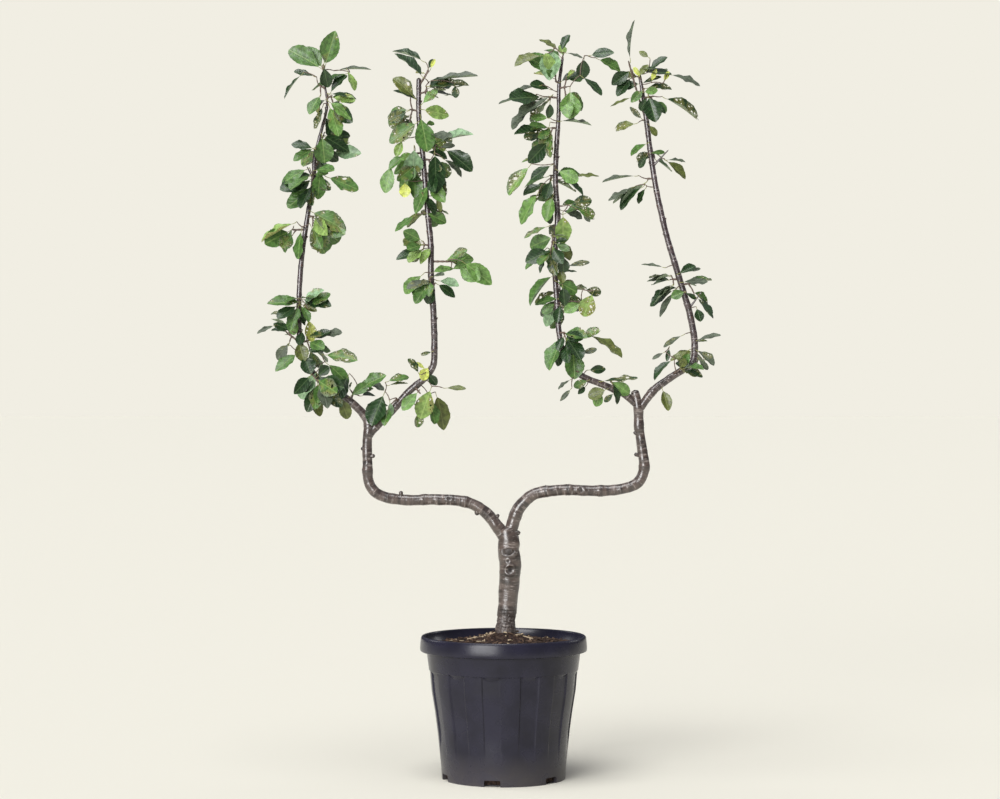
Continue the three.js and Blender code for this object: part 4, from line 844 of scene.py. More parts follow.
# The ones in front come before those behind them, cordon by cordon from the left and from the top down. The
# last seven, from the one at 331, 92 on, are small ones behind all the others
SPRIGS = tuple(Sprig(*row) for row in (
    (326, 63, 335, 31, 20, "M1"), (319, 67, 289, 48, 19, "M0"), (321, 66, 307, 46, 15, "M0"),
    (313, 76, 294, 70, 6, "D0"), (300, 76, 281, 96, 3, "D0"), (324, 68, 328, 88, 13, "D0"),
    (345, 74, 310, 88, 10, "M0"), (348, 72, 356, 89, 8, "L0"), (339, 70, 371, 66, 4, "G0"),
    (332, 94, 357, 98, 7, "D0"), (325, 100, 308, 113, 9, "G0"), (322, 108, 315, 130, 9, "D2"),
    (331, 103, 351, 117, 12, "B0"), (330, 108, 340, 134, 14, "B1"), (312, 148, 292, 142, 9, "D0"),
    (312, 149, 293, 160, 10, "M0"), (322, 138, 325, 163, 20, "M0"), (325, 137, 350, 150, 14, "D0"),
    (335, 152, 361, 153, 15, "S1"), (305, 170, 281, 182, 13, "M0"), (313, 188, 287, 207, 15, "M0"),
    (330, 178, 359, 189, 15, "M1"), (320, 172, 318, 199, 15, "M0"), (310, 180, 298, 192, 9, "D0"),
    (314, 213, 346, 230, 20, "M2"), (312, 228, 326, 254, 20, "M2"), (292, 224, 260, 240, 8, "L0"),
    (301, 232, 297, 259, 11, "M0"), (292, 230, 283, 251, 10, "M0"), (326, 118, 336, 141, 12, "D0"),
    (298, 302, 267, 303, 13, "M1"), (305, 305, 322, 288, 8, "S1"), (312, 306, 329, 291, 10, "M1"),
    (303, 305, 317, 311, 8, "O1"), (288, 314, 270, 312, 4, "G2"), (289, 330, 273, 322, 9, "D0"),
    (273, 326, 257, 333, 5, "G0"), (297, 319, 292, 335, 11, "B0"), (305, 308, 303, 326, 8, "D0"),
    (309, 321, 312, 342, 12, "Y1"), (314, 338, 330, 331, 9, "D0"), (324, 335, 342, 332, 8, "G0"),
    (302, 332, 299, 345, 10, "D0"), (308, 351, 322, 349, 6, "D0"), (288, 346, 279, 349, 4, "G1"),
    (299, 343, 304, 361, 14, "O0"), (295, 355, 275, 370, 12, "M0"), (327, 355, 357, 359, 14, "M2"),
    (304, 357, 311, 374, 15, "D0"), (318, 376, 329, 366, 11, "D0"), (329, 365, 349, 382, 13, "M0"),
    (316, 373, 300, 399, 17, "S0"), (319, 376, 334, 395, 18, "D0"), (347, 378, 334, 402, 17, "D0"),
    (311, 394, 321, 416, 12, "O1"), (318, 390, 331, 406, 4, "G0"), (340, 398, 349, 419, 12, "O0"),
    (352, 395, 368, 384, 11, "M0"), (363, 386, 386, 375, 12, "M1"), (369, 381, 384, 389, 7, "G0"),
    (389, 381, 409, 375, 9, "M1"), (390, 385, 408, 382, 3, "D2"), (383, 396, 371, 424, 21, "D0"),
    (390, 403, 392, 417, 6, "S0"), (418, 372, 409, 358, 7, "D2"), (425, 369, 416, 362, 4, "Y0"),
    (431, 352, 420, 355, 4, "D2"), (428, 368, 421, 380, 11, "Y0"), (428, 374, 437, 385, 9, "D0"),
    (417, 393, 402, 410, 12, "B0"), (430, 391, 420, 419, 19, "L1"), (419, 411, 418, 428, 9, "M2"),
    (430, 400, 436, 424, 11, "M0"), (437, 397, 446, 430, 16, "O0"), (447, 388, 466, 388, 5, "O0"),
    (421, 75, 396, 51, 9, "D0"), (421, 60, 394, 47, 7, "D0"), (431, 68, 435, 59, 4, "Y0"),
    (436, 80, 478, 74, 6, "G0"), (431, 86, 469, 83, 12, "D2"), (455, 86, 456, 98, 8, "D1"),
    (423, 103, 437, 90, 10, "B1"), (413, 96, 394, 77, 14, "O1"), (417, 100, 394, 88, 8, "D0"),
    (406, 112, 387, 121, 13, "D2"), (425, 110, 450, 115, 15, "L1"), (415, 124, 389, 142, 18, "M2"),
    (402, 141, 396, 156, 9, "L0"), (421, 119, 428, 150, 20, "M0"), (441, 142, 471, 130, 9, "S0"),
    (414, 150, 413, 175, 20, "S0"), (403, 157, 388, 168, 9, "M0"), (391, 167, 384, 192, 14, "B0"),
    (447, 151, 473, 169, 16, "D0"), (445, 160, 463, 176, 8, "G0"), (428, 152, 448, 158, 9, "D0"),
    (435, 156, 437, 193, 18, "D0"), (405, 183, 405, 197, 12, "Y0"), (415, 174, 415, 197, 15, "M0"),
    (431, 185, 445, 202, 14, "B0"), (427, 187, 414, 213, 12, "M0"), (413, 217, 394, 230, 8, "M0"),
    (437, 198, 441, 212, 6, "O0"), (428, 214, 447, 222, 11, "M0"), (421, 244, 402, 239, 15, "O0"),
    (420, 250, 396, 258, 10, "D0"), (430, 249, 420, 263, 9, "L0"), (452, 258, 467, 249, 9, "M2"),
    (434, 272, 454, 267, 9, "B0"), (453, 269, 470, 262, 9, "B0"), (466, 264, 493, 284, 18, "B0"),
    (421, 276, 403, 293, 13, "B0"), (428, 283, 412, 294, 10, "M0"), (440, 281, 459, 285, 9, "S0"),
    (439, 285, 456, 296, 9, "D0"), (433, 289, 427, 304, 12, "D0"), (424, 196, 436, 214, 9, "D0"),
    (557, 50, 540, 37, 7, "O0"), (562, 50, 569, 34, 8, "D0"), (553, 52, 549, 80, 22, "S0"),
    (540, 56, 514, 64, 10, "O0"), (592, 55, 613, 51, 11, "D0"), (600, 60, 621, 71, 11, "M0"),
    (584, 60, 582, 80, 14, "D0"), (584, 78, 603, 93, 8, "D0"), (549, 89, 530, 84, 9, "D0"),
    (537, 86, 509, 92, 5, "G0"), (532, 95, 498, 101, 3, "G0"), (549, 97, 528, 110, 5, "G0"),
    (529, 111, 510, 127, 9, "G0"), (570, 92, 570, 119, 22, "B0"), (550, 104, 549, 119, 8, "D0"),
    (547, 118, 530, 117, 9, "B0"), (562, 121, 592, 121, 4, "G0"), (541, 130, 514, 132, 10, "D0"),
    (549, 127, 543, 153, 15, "M2"), (547, 155, 521, 161, 6, "M2"), (528, 168, 508, 195, 15, "B2"),
    (550, 166, 530, 178, 10, "D0"), (541, 185, 523, 195, 9, "D0"), (551, 181, 545, 199, 11, "D0"),
    (536, 196, 519, 224, 14, "B0"), (552, 198, 546, 222, 13, "B0"), (559, 171, 578, 181, 14, "B0"),
    (575, 176, 599, 173, 5, "O0"), (567, 181, 584, 194, 7, "D0"), (572, 204, 592, 200, 13, "D2"),
    (578, 209, 597, 217, 11, "M2"), (563, 217, 563, 245, 17, "L1"), (546, 227, 524, 236, 6, "M2"),
    (551, 238, 529, 247, 17, "M0"), (543, 251, 523, 267, 8, "M0"), (545, 257, 539, 273, 5, "D0"),
    (553, 246, 550, 269, 11, "M0"), (560, 242, 571, 260, 10, "O0"), (562, 256, 564, 273, 13, "D0"),
    (569, 266, 590, 261, 6, "G2"), (563, 271, 577, 271, 3, "D0"), (560, 270, 563, 283, 9, "O0"),
    (551, 277, 526, 303, 8, "M0"), (558, 282, 578, 292, 13, "M0"), (586, 290, 602, 293, 10, "D2"),
    (592, 295, 583, 317, 17, "L2"), (579, 304, 564, 312, 12, "B0"), (563, 288, 565, 306, 12, "D0"),
    (556, 299, 534, 302, 8, "M0"), (554, 304, 542, 313, 10, "M0"), (553, 309, 545, 327, 12, "S0"),
    (560, 306, 557, 323, 10, "D0"), (583, 338, 600, 328, 9, "M2"), (591, 336, 624, 354, 9, "O1"),
    (582, 353, 597, 349, 6, "G1"), (578, 331, 567, 350, 13, "B0"), (563, 338, 547, 368, 13, "M0"),
    (563, 350, 557, 366, 9, "D0"), (573, 351, 575, 379, 20, "M0"), (567, 352, 584, 356, 10, "D0"),
    (590, 370, 606, 369, 9, "D1"), (604, 381, 638, 377, 5, "D2"), (612, 382, 630, 394, 13, "B0"),
    (613, 385, 619, 404, 7, "D0"), (587, 381, 573, 387, 9, "M1"), (585, 387, 578, 394, 6, "D0"),
    (605, 390, 588, 397, 13, "O0"), (601, 393, 595, 407, 11, "B0"), (613, 394, 604, 402, 6, "D1"),
    (570, 380, 558, 389, 3, "G0"), (570, 390, 560, 401, 5, "G1"), (546, 208, 551, 224, 9, "D0"),
    (630, 58, 629, 19, 3, "G0"), (629, 72, 612, 84, 13, "D0"), (630, 79, 617, 96, 11, "D0"),
    (638, 84, 621, 87, 9, "D1"), (642, 91, 631, 102, 9, "M1"), (647, 98, 640, 111, 8, "D0"),
    (640, 75, 648, 64, 7, "O0"), (652, 100, 666, 113, 6, "D0"), (637, 77, 622, 74, 8, "O1"),
    (640, 77, 634, 67, 5, "Y0"), (652, 80, 656, 69, 5, "Y0"), (664, 81, 669, 71, 5, "Y0"),
    (648, 57, 639, 51, 6, "O0"), (650, 70, 666, 55, 8, "D0"), (672, 75, 701, 84, 7, "G0"),
    (643, 83, 661, 76, 7, "D1"), (645, 92, 658, 90, 8, "B0"), (648, 88, 672, 87, 7, "D2"),
    (649, 98, 656, 121, 19, "D0"), (667, 99, 702, 117, 12, "D2"), (630, 98, 610, 106, 4, "O0"),
    (634, 124, 614, 130, 10, "O2"), (650, 126, 657, 136, 7, "O0"), (641, 118, 630, 107, 6, "G2"),
    (646, 144, 630, 155, 7, "M0"), (651, 153, 665, 152, 5, "M0"), (646, 157, 639, 168, 7, "D0"),
    (668, 160, 686, 160, 3, "G0"), (668, 162, 687, 178, 11, "O0"), (634, 176, 602, 179, 3, "G0"),
    (631, 188, 608, 198, 5, "G0"), (641, 188, 618, 207, 7, "D0"), (645, 189, 636, 203, 7, "D0"),
    (662, 267, 641, 264, 3, "G0"), (666, 280, 647, 280, 4, "G0"), (677, 288, 660, 290, 4, "D0"),
    (672, 291, 649, 305, 7, "D0"), (673, 294, 659, 317, 6, "G0"), (684, 292, 671, 297, 10, "M0"),
    (680, 273, 696, 265, 9, "D0"), (689, 271, 701, 268, 4, "G0"), (684, 282, 708, 281, 7, "G0"),
    (686, 293, 697, 299, 5, "D0"), (701, 298, 715, 318, 6, "D0"), (697, 309, 701, 321, 10, "D0"),
    (698, 340, 720, 333, 5, "G0"), (681, 336, 662, 346, 6, "G1"), (687, 351, 670, 360, 6, "O0"),
    (671, 361, 653, 378, 7, "D0"), (663, 353, 652, 359, 4, "G0"), (669, 349, 667, 361, 5, "D0"),
    (692, 366, 675, 362, 9, "D0"), (686, 372, 700, 373, 9, "O0"), (699, 352, 715, 364, 9, "G1"),
    (699, 360, 709, 370, 6, "G0"), (663, 391, 669, 410, 11, "O0"), (331, 92, 346, 74, 9, "D0"),
    (562, 81, 578, 72, 7, "D0"), (567, 53, 583, 56, 3, "G0"), (566, 213, 584, 206, 7, "M0"),
    (441, 147, 455, 145, 6, "G0"), (584, 213, 590, 222, 6, "G0"), (320, 161, 327, 167, 5, "D0")))


def by_distance(marks: tuple[tuple[float, float], ...], distances: Array) -> Array:
    """Returns values that change evenly between marks, each a distance and its value."""
    return np.interp(distances, [mark[0] for mark in marks], [mark[1] for mark in marks])


@dataclass
class Wood:
    """The trunk, arms and cordons, each a sheet rolled up round its run with the bark's relief in the mesh.

    The bark's noises, from the broadest to the finest, are `swell_mm`, `lump_mm`, `plate_mm` and `grit_mm`
    wide.
    """

    swell_mm: float = 26.0
    lump_mm: float = 10.0
    lump_share: float = 0.4
    plate_mm: float = 8.0
    plate_squeeze: float = 0.6
    plate_edge: float = 0.25
    plate_level: float = 0.7
    grit_mm: float = 2.6
    grit_relief: float = 0.35
    scale_relief: float = 1.5
    smooth_relief: float = 0.35
    aged_relief: float = 0.7
    end_round: float = 5.0
    node_spacing: float = 27.0
    node_width: float = 3.2
    node_rise: float = 0.45
    bud_length: float = 4.6
    bud_width: float = 2.5
    bud_turn: float = 144.0
    bare_margin: float = 14.0
    merged_within: float = 0.02
    snag_spacing: float = 40.0
    snag_swelling: float = 0.35
    snag_swelling_reach: float = 0.35
    snag_unevenness: float = 0.08

    def relief(self, limb: Limb, distances: Array, around: Array, radii: Array) -> Array:
        """Works out how far the bark stands proud of the run at each place.

        Args:
            limb: the limb, with its knots.
            distances: each vertex's distance from the run's foot.
            around: each vertex's angle about the run, in radians, 0 at the front.
            radii: the run's radius at each vertex.

        Returns:
            The rise of each vertex, in millimetres.
        """
        rough = by_distance(limb.roughness, distances)
        age = by_distance(limb.ages, distances)
        rise = np.zeros(len(distances))
        for i, (along, angle, radius) in enumerate(zip(distances, around, radii)):
            place = Vector((math.cos(angle) * radius, math.sin(angle) * radius, along))
            broad = noise.noise(place / self.swell_mm) + self.lump_share * noise.noise(place / self.lump_mm)
            squeezed = Vector((place.x, place.y, place.z * self.plate_squeeze))
            plates = noise.voronoi(squeezed / self.plate_mm)[0]
            edge = min(plates[1] - plates[0], self.plate_edge) / self.plate_edge
            fine = noise.noise(place / self.grit_mm)
            rise[i] = (broad * (self.smooth_relief + self.aged_relief * age[i])
                       + rough[i] * self.scale_relief * (edge - self.plate_level)
                       + rough[i] * self.grit_relief * fine)
        phase = distances / self.node_spacing
        swelling = hump((phase - np.round(phase)) * self.node_spacing, self.node_width)
        rise += swelling * self.node_rise * (1 - 0.5 * age)
        for knot in limb.knots:
            rise += knot.effect(limb.run, distances, around, radii)[0]
        return rise

    def knot_darkening_and_shade(self, limb: Limb, distances: Array, around: Array, radii: Array) -> Array:
        """Returns how dark the knots' marks make the bark at each place, from 0 to 1: partly their own colour,
        partly painted shade in their hollows.
        """
        dark = np.zeros(len(distances))
        for knot in limb.knots:
            dark = np.maximum(dark, knot.effect(limb.run, distances, around, radii)[1])
        return np.clip(dark, 0, 1)

    def rolled(
        self, name: str, run_at: Callable[[float], tuple[Array, Array, float]], distances: Array, sides: int,
        rise: Callable[[Array, Array, Array], Array]
    ) -> tuple[Object, Array, Array, Array]:
        """Rolls a grid up round a path, closing its seam and both ends.

        Args:
            name: the new object's name.
            run_at: gives the place, direction and radius at a distance along the path.
            distances: the rings' distances, in order; the first and the last close to a point.
            sides: how many faces go round.
            rise: gives each vertex's rise from its distance, angle and radius.

        Returns:
            The object, unmerged, with each vertex's distance, angle and radius.
        """
        deselect()
        bpy.ops.mesh.primitive_grid_add(x_subdivisions=sides, y_subdivisions=len(distances) - 1, size=1)
        rolled = bpy.context.object
        rolled.name = name
        count = len(rolled.data.vertices)
        flat = np.empty(count * 3)
        rolled.data.vertices.foreach_get("co", flat)
        flat = flat.reshape(-1, 3)
        rings = np.round((flat[:, 1] + 0.5) * (len(distances) - 1)).astype(int)
        around = (flat[:, 0] + 0.5) * math.tau
        places, sideways, radii = np.empty((count, 3)), np.empty((count, 3)), np.empty(count)
        for ring, distance in enumerate(distances):
            place, direction, radius = run_at(distance)
            side = unit(np.cross(direction, FRONT))
            depth = np.cross(side, direction)
            chosen = rings == ring
            places[chosen] = place
            radii[chosen] = radius
            turn = around[chosen][:, None]
            sideways[chosen] = np.cos(turn) * depth + np.sin(turn) * side
        along = distances[rings]
        shown = radii + rise(along, around, radii)
        from_end = np.minimum(along - distances[0], distances[-1] - along) / np.minimum(self.end_round, radii)
        rounded = np.sqrt(np.clip(1 - (1 - np.clip(from_end, 0, 1)) ** 2, 0, 1))
        moved = places + sideways * (shown * rounded)[:, None]
        rolled.data.vertices.foreach_set("co", (moved * MM).ravel())
        return rolled, along, around, radii

    def close(self, piece: Object) -> None:
        """Merges a rolled sheet's seam and ends and turns its faces outwards."""
        choose(piece)
        bpy.ops.object.mode_set(mode="EDIT")
        bpy.ops.mesh.select_all(action="SELECT")
        bpy.ops.mesh.remove_doubles(threshold=self.merged_within * MM)
        bpy.ops.mesh.normals_make_consistent(inside=False)
        bpy.ops.object.mode_set(mode="OBJECT")
        bpy.ops.object.shade_smooth()

    def dress_mesh(
        self, mesh: Mesh, along: Array, around: Array, radii: Array, age: Array, rough: Array, scar: Array,
        offset: float = 0.0
    ) -> None:
        """Keeps what the bark's finish reads: the place in the limb's own space, age, roughness and the
        darkening of cut ends and knots' marks, partly painted shade in the marks' hollows.
        """
        grain = np.stack([np.cos(around) * radii, np.sin(around) * radii, along + offset], axis=1) * MM
        keep_attribute(mesh, "grain", "FLOAT_VECTOR", grain)
        for name, values in (("age", age), ("scales", rough), ("scar", scar)):
            keep_attribute(mesh, name, "FLOAT", values)

    def limb(self, limb: Limb) -> None:
        """Builds a limb with its snags and hands it over."""
        run = limb.run
        distances = np.linspace(0, run.length, max(2, round(run.length / limb.step)) + 1)
        piece, along, around, radii = self.rolled(
            limb.name, run.at, distances, limb.sides, lambda a, t, r: self.relief(limb, a, t, r))
        self.dress_mesh(piece.data, along, around, radii, by_distance(limb.ages, along),
                        by_distance(limb.roughness, along), self.knot_darkening_and_shade(limb, along, around, radii))
        self.close(piece)
        snags = [self.snag(f"{limb.name}_snag_{number}", snag, limb, self.snag_spacing * (number + 1))
                 for number, snag in enumerate(limb.snags)]
        join([piece, *snags])
        hand_over(piece, limb.name, BARK, limb.slot, limb.nodes)

    def snag(self, name: str, snag: Snag, limb: Limb, offset: float) -> Object:
        """Builds a snag: a short tapering stub, or a thin twig that ends in a bud."""
        reach = snag.length
        rings, sides, darkness = (10, 16, 0.75) if snag.cut else (18, 10, 0.25)

        def at(distance: float) -> tuple[Array, Array, float]:
            """Returns the snag's place, direction and radius at a distance."""
            place, radius = snag.at(distance / reach)
            return place, snag.direction, radius

        def rise(along: Array, around: Array, radii: Array) -> Array:
            """Returns the stub's swelling at its root and its uneven skin."""
            uneven = np.array([noise.noise(Vector((math.cos(t) * 2, math.sin(t) * 2, a / 4 + offset)))
                               for a, t in zip(along, around)])
            swelling = self.snag_swelling * radii * hump(along, reach * self.snag_swelling_reach)
            return swelling + uneven * self.snag_unevenness * radii

        piece, along, around, radii = self.rolled(name, at, np.linspace(0, 1, rings) * reach, sides, rise)
        age = np.full(len(along), float(np.mean([mark[1] for mark in limb.ages[:2]])) if snag.cut else 0.1)
        scar = smooth(along, reach - 4.5, reach - 1.5) * darkness
        self.dress_mesh(piece.data, along, around, radii, age, np.zeros(len(along)), scar, offset)
        self.close(piece)
        return piece

    def buds(self) -> None:
        """Sets a small pointed bud at each swelling of the cordons' bare stretches."""
        gathered = Sheets()
        for cordon in CORDONS:
            spurs = np.array([cordon.run.distance_at(spur.height) for spur in cordon.spurs])
            lowest, highest = spurs.min() / self.node_spacing, spurs.max() / self.node_spacing
            for count in range(math.ceil(lowest), int(highest)):
                distance = count * self.node_spacing
                if np.abs(spurs - distance).min() < self.bare_margin:
                    continue
                place, along, radius = cordon.run.at(distance)
                side = unit(np.cross(along, FRONT))
                turn = math.radians(self.bud_turn * count)
                outward = side * math.cos(turn) + np.cross(side, along) * math.sin(turn)
                foot = place + outward * radius * 0.85
                way = unit(along * 0.85 + outward * 0.6) * self.bud_length
                rings = foot + way * np.array([0, 0.25, 0.55, 0.82, 1.0])[:, None]
                gathered.add(*tube(rings, self.bud_width / 2 * np.array([0.9, 1.15, 1.0, 0.6, 0.12]), 8))
        uprights = [node for limb in LIMBS for node in limb.nodes if "upright" in node]
        gathered.hand_over("buds", BUD_SKIN, "young_bark", uprights)

    def build(self) -> None:
        """Builds all the limbs and the buds."""
        for limb in LIMBS:
            self.limb(limb)
        self.buds()


@dataclass(frozen=True)
class Leaf:
    """A leaf's frame: its root, ways, size, stalk and curl, and its place along its spur's side twig.

    Its points stand in rows of `ACROSS`, the first at the blade's base, which may touch its twig.
    """

    place: float
    root: Array
    direction: Array
    side: Array
    normal: Array
    length: float
    width: float
    stalk: float
    curl: float
    ACROSS: ClassVar[int] = 5
    ROWS: ClassVar[int] = 7

    def on_blade(self, v: Array, w: Array) -> Array:
        """Returns places on the blade: v runs from its base to its tip, w is the distance from its midrib."""
        v, w = np.atleast_1d(v)[:, None], np.atleast_1d(w)[:, None]
        bow = -self.curl * self.length * v * v
        return self.root + self.direction * (self.stalk + self.length * v) + self.side * w + self.normal * bow

    def spread_points(self) -> Array:
        """Returns points all over the blade, row by row from its base."""
        v = np.repeat(np.arange(self.ROWS) / (self.ROWS - 1), self.ACROSS)
        half = self.width / 2 * np.sin(np.pi * (0.1 + v * 0.9)) ** 0.6
        return self.on_blade(v, half * np.tile(np.linspace(-1, 1, self.ACROSS), self.ROWS))


@dataclass
class PlacedSpur:
    """A spur set on its cordon: its start, tip, side twigs and the middle of its own space."""

    spur: Spur
    run: Run
    mass: str
    seed: int
    # The rule's limits: degrees for the tilt, millimetres for the longest stem, and otherwise shares
    TILT: ClassVar[tuple[float, float]] = (8, 46)
    SIZE: ClassVar[tuple[float, float]] = (0.85, 1.15)
    WIDTH: ClassVar[tuple[float, float]] = (0.51, 0.69)
    FACING: ClassVar[tuple[float, float]] = (-0.25, 0.25)
    SWAY: ClassVar[tuple[float, float]] = (-0.6, 0.6)
    SHIFT: ClassVar[tuple[float, float]] = (-0.35, 0.35)
    STALK: ClassVar[tuple[float, float]] = (0.16, 0.26)
    CURL: ClassVar[tuple[float, float]] = (0.04, 0.16)
    TWIG_FROM: ClassVar[float] = 0.25
    LONGEST_STEM: ClassVar[float] = 60.0

    def __post_init__(self) -> None:
        """Works out the spur's places from its run, by the part's rule."""
        spur = self.spur
        place, self.along, radius = self.run.at(self.run.distance_at(spur.height))
        azimuth, rise = math.radians(spur.azimuth), math.radians(spur.rise)
        level = math.cos(rise)
        outward = np.array([math.cos(azimuth) * level, math.sin(azimuth) * level, math.sin(rise)])
        at_tip = spur.rise == 90
        self.axis = self.along if at_tip else outward
        self.tip = place + self.axis * ((0 if at_tip else radius) + spur.stem)
        self.middle = self.tip.copy()
        for share in (0.17, 0.5, 0.83):
            turned = seen_from_front(lerp(spur.fan_from, spur.fan_to, share), 0)
            self.middle += turned * spur.leaf_length * 0.2
        self.fork = self.tip - self.axis * spur.stem * 0.4
        self.start = place + self.axis * (-3 if at_tip else radius / 2)

    def twig_end(self, way: int) -> Array:
        """Returns the end of the side twig that runs with (+1) or against (-1) the cordon."""
        return self.tip + self.along * way * self.spur.reach

    def draw_leaf(self, index: float, attempt: int, draw: Draw, scale: float = 1.0) -> Leaf:
        """Draws a leaf's frame from the spur's fan.

        Args:
            index: the leaf's place in the fan, from 0.
            attempt: how many draws it has had, each wider spread and shorter.
            draw: the source of random numbers.
            scale: its size beside the spur's full leaves.

        Returns:
            The leaf.
        """
        spur = self.spur
        share = (index + 0.5 + (draw() - 0.5) * (0.6 + attempt * 0.15)) / spur.leaves
        towards = np.sign(self.axis[1]) if abs(self.axis[1]) > 0.5 else (int(index) % 2) * 2 - 1
        tilt = -towards * between(draw, self.TILT)
        direction = seen_from_front(lerp(spur.fan_from, spur.fan_to, share), tilt)
        length = spur.leaf_length * scale * between(draw, self.SIZE) * (1 - attempt * 0.035)
        width = length * between(draw, self.WIDTH)
        facing = clamp(spur.facing + between(draw, self.FACING), 0, 1)
        guide = UP * (1 - facing) + FRONT * facing + RIGHT * between(draw, self.SWAY)
        if abs(guide @ direction) > 0.9 * np.linalg.norm(guide):
            guide = FRONT
        side = unit(np.cross(direction, guide))
        normal = np.cross(side, direction)
        place = clamp(direction @ self.along + between(draw, self.SHIFT), -1, 1)
        way = 1 if place > 0 else -1
        if spur.reach > 0 and abs(place) > self.TWIG_FROM:
            root = lerp(self.fork, self.twig_end(way), abs(place))
        else:
            root = self.tip - self.axis * min(spur.stem * 0.8, self.LONGEST_STEM) * (index / spur.leaves)
        stalk = length * between(draw, self.STALK)
        return Leaf(place, root, direction, side, normal, length, width, stalk, between(draw, self.CURL))


@dataclass
class BladePattern:
    """A leaf's outline with its teeth, holes and bites, cut into triangles once and shared by many leaves.

    Places on it are (across, along), both in leaf lengths from the blade's base. `fullest` above 1 puts its
    widest part beyond its middle, and `blunt` rounds its tip.
    """

    teeth: int = 8
    width: float = 0.6
    fullest: float = 1.12
    blunt: float = 0.28
    holes: tuple[tuple[float, float, float], ...] = ()
    bites: tuple[tuple[float, float, float], ...] = ()
    AT_EDGE: ClassVar[int] = 1
    AT_HOLE: ClassVar[int] = 2

    def half_width(self, v: float) -> float:
        """Returns half the blade's width at a share of its length."""
        return self.width / 2 * max(math.sin(math.pi * v ** self.fullest), 0.0) ** (0.85 - self.blunt * v)

    def outline(self) -> list[tuple[float, float]]:
        """Returns the finely toothed outline, from the base up its right side and down its left."""
        right = []
        for tooth in range(self.teeth):
            low, high = tooth / self.teeth, (tooth + 0.62) / self.teeth
            if tooth > 0:
                right.append((self.half_width(low) * 0.97, low))
            right.append((self.half_width(high) * 1.01 + 0.002, high))
        left = [(-x, v) for x, v in reversed(right)]
        return [(0.0, 0.0), *right, (0.0, 1.0), *left]

    def hole_edge(self, hole: tuple[float, float, float], number: int) -> list[tuple[float, float]]:
        """Returns a hole's uneven edge."""
        x, v, size = hole
        corners = 5 if size < 0.045 else 8
        edge = []
        for i in range(corners):
            turn = math.tau * i / corners + number
            reach = size * (1 + 0.3 * math.sin(turn * 2 + number * 1.7))
            edge.append((x + reach * math.cos(turn), v + reach * 1.25 * math.sin(turn)))
        return edge

    @staticmethod
    def inside(x: float, v: float, edge: list[tuple[float, float]]) -> bool:
        """Returns True where a point lies within a closed edge."""
        within = False
        for (x1, v1), (x2, v2) in zip(edge, edge[1:] + edge[:1]):
            if (v1 > v) != (v2 > v) and x < (x2 - x1) * (v - v1) / (v2 - v1) + x1:
                within = not within
        return within

    def cut(self) -> tuple[Array, Array, Array]:
        """Cuts the blade into triangles.

        Returns:
            The vertices as (across, along), the triangles, and for each vertex `AT_HOLE` on a hole's edge,
            `AT_EDGE` on another edge of the blade and 0 within it.
        """
        outline = self.outline()
        openings = [self.hole_edge(hole, number) for number, hole in enumerate(self.holes + self.bites)]
        points = list(outline)
        faces = [list(range(len(outline)))]
        for edge in openings:
            faces.append(list(range(len(points), len(points) + len(edge))))
            points += edge
        rib = (0.0, 0.18, 0.38, 0.58, 0.78, 1.0)
        first_rib = len(points)
        points += [(0.0, v) for v in rib]
        edges = [(first_rib + i, first_rib + i + 1) for i in range(len(rib) - 1)]
        for v in (0.28, 0.5, 0.72):
            for side in (-1, 1):
                x = side * self.half_width(v) * 0.52
                if not any(self.inside(x, v, edge) for edge in openings):
                    points.append((x, v))
        found = delaunay_2d_cdt([Vector(p) for p in points], edges, faces, 1, 1e-5)
        vertices = np.array([tuple(v) for v in found[0]])
        kept = []
        for face in found[2]:
            x, v = vertices[list(face)].mean(axis=0)
            if self.inside(x, v, outline) and not any(self.inside(x, v, edge) for edge in openings):
                kept.append(list(face))
        used = sorted({i for face in kept for i in face})
        renumbered = {old: new for new, old in enumerate(used)}
        triangles = np.array([[renumbered[i] for i in face] for face in kept])
        vertices = vertices[used]
        counted = Counter(
            tuple(sorted((face[a], face[b]))) for face in triangles for a, b in ((0, 1), (1, 2), (2, 0)))
        rims = np.zeros(len(vertices), dtype=int)
        for edge, times in counted.items():
            if times == 1:
                rims[list(edge)] = self.AT_EDGE
        for opening in openings:
            for x, v in opening:
                rims[np.hypot(vertices[:, 0] - x, vertices[:, 1] - v) < 1e-4] = self.AT_HOLE
        return vertices, triangles, rims


def shot_holes(seed: int, count: int, sizes: tuple[float, float]) -> tuple[tuple[float, float, float], ...]:
    """Scatters the round holes that a plum's leaves get in summer, clear of the midrib and of each other.

    Args:
        seed: the draw's seed.
        count: how many to try for.
        sizes: the smallest and the largest radius, in leaf lengths.

    Returns:
        Each hole's place across and along and its radius.
    """
    draw = seeded(seed)
    plain = BladePattern()
    holes: list[tuple[float, float, float]] = []
    for _ in range(count * 6):
        size = lerp(*sizes, draw() ** 2)
        v = between(draw, (0.14, 0.92))
        x = (draw() * 2 - 1) * (plain.half_width(v) - size * 1.4)
        clear = all(math.hypot(x - a, v - b) > 1.25 * (size + c) + 0.018 for a, b, c in holes)
        if abs(x) > size * 1.3 + 0.018 and clear and len(holes) < count:
            holes.append((x, v, size))
    return tuple(holes)


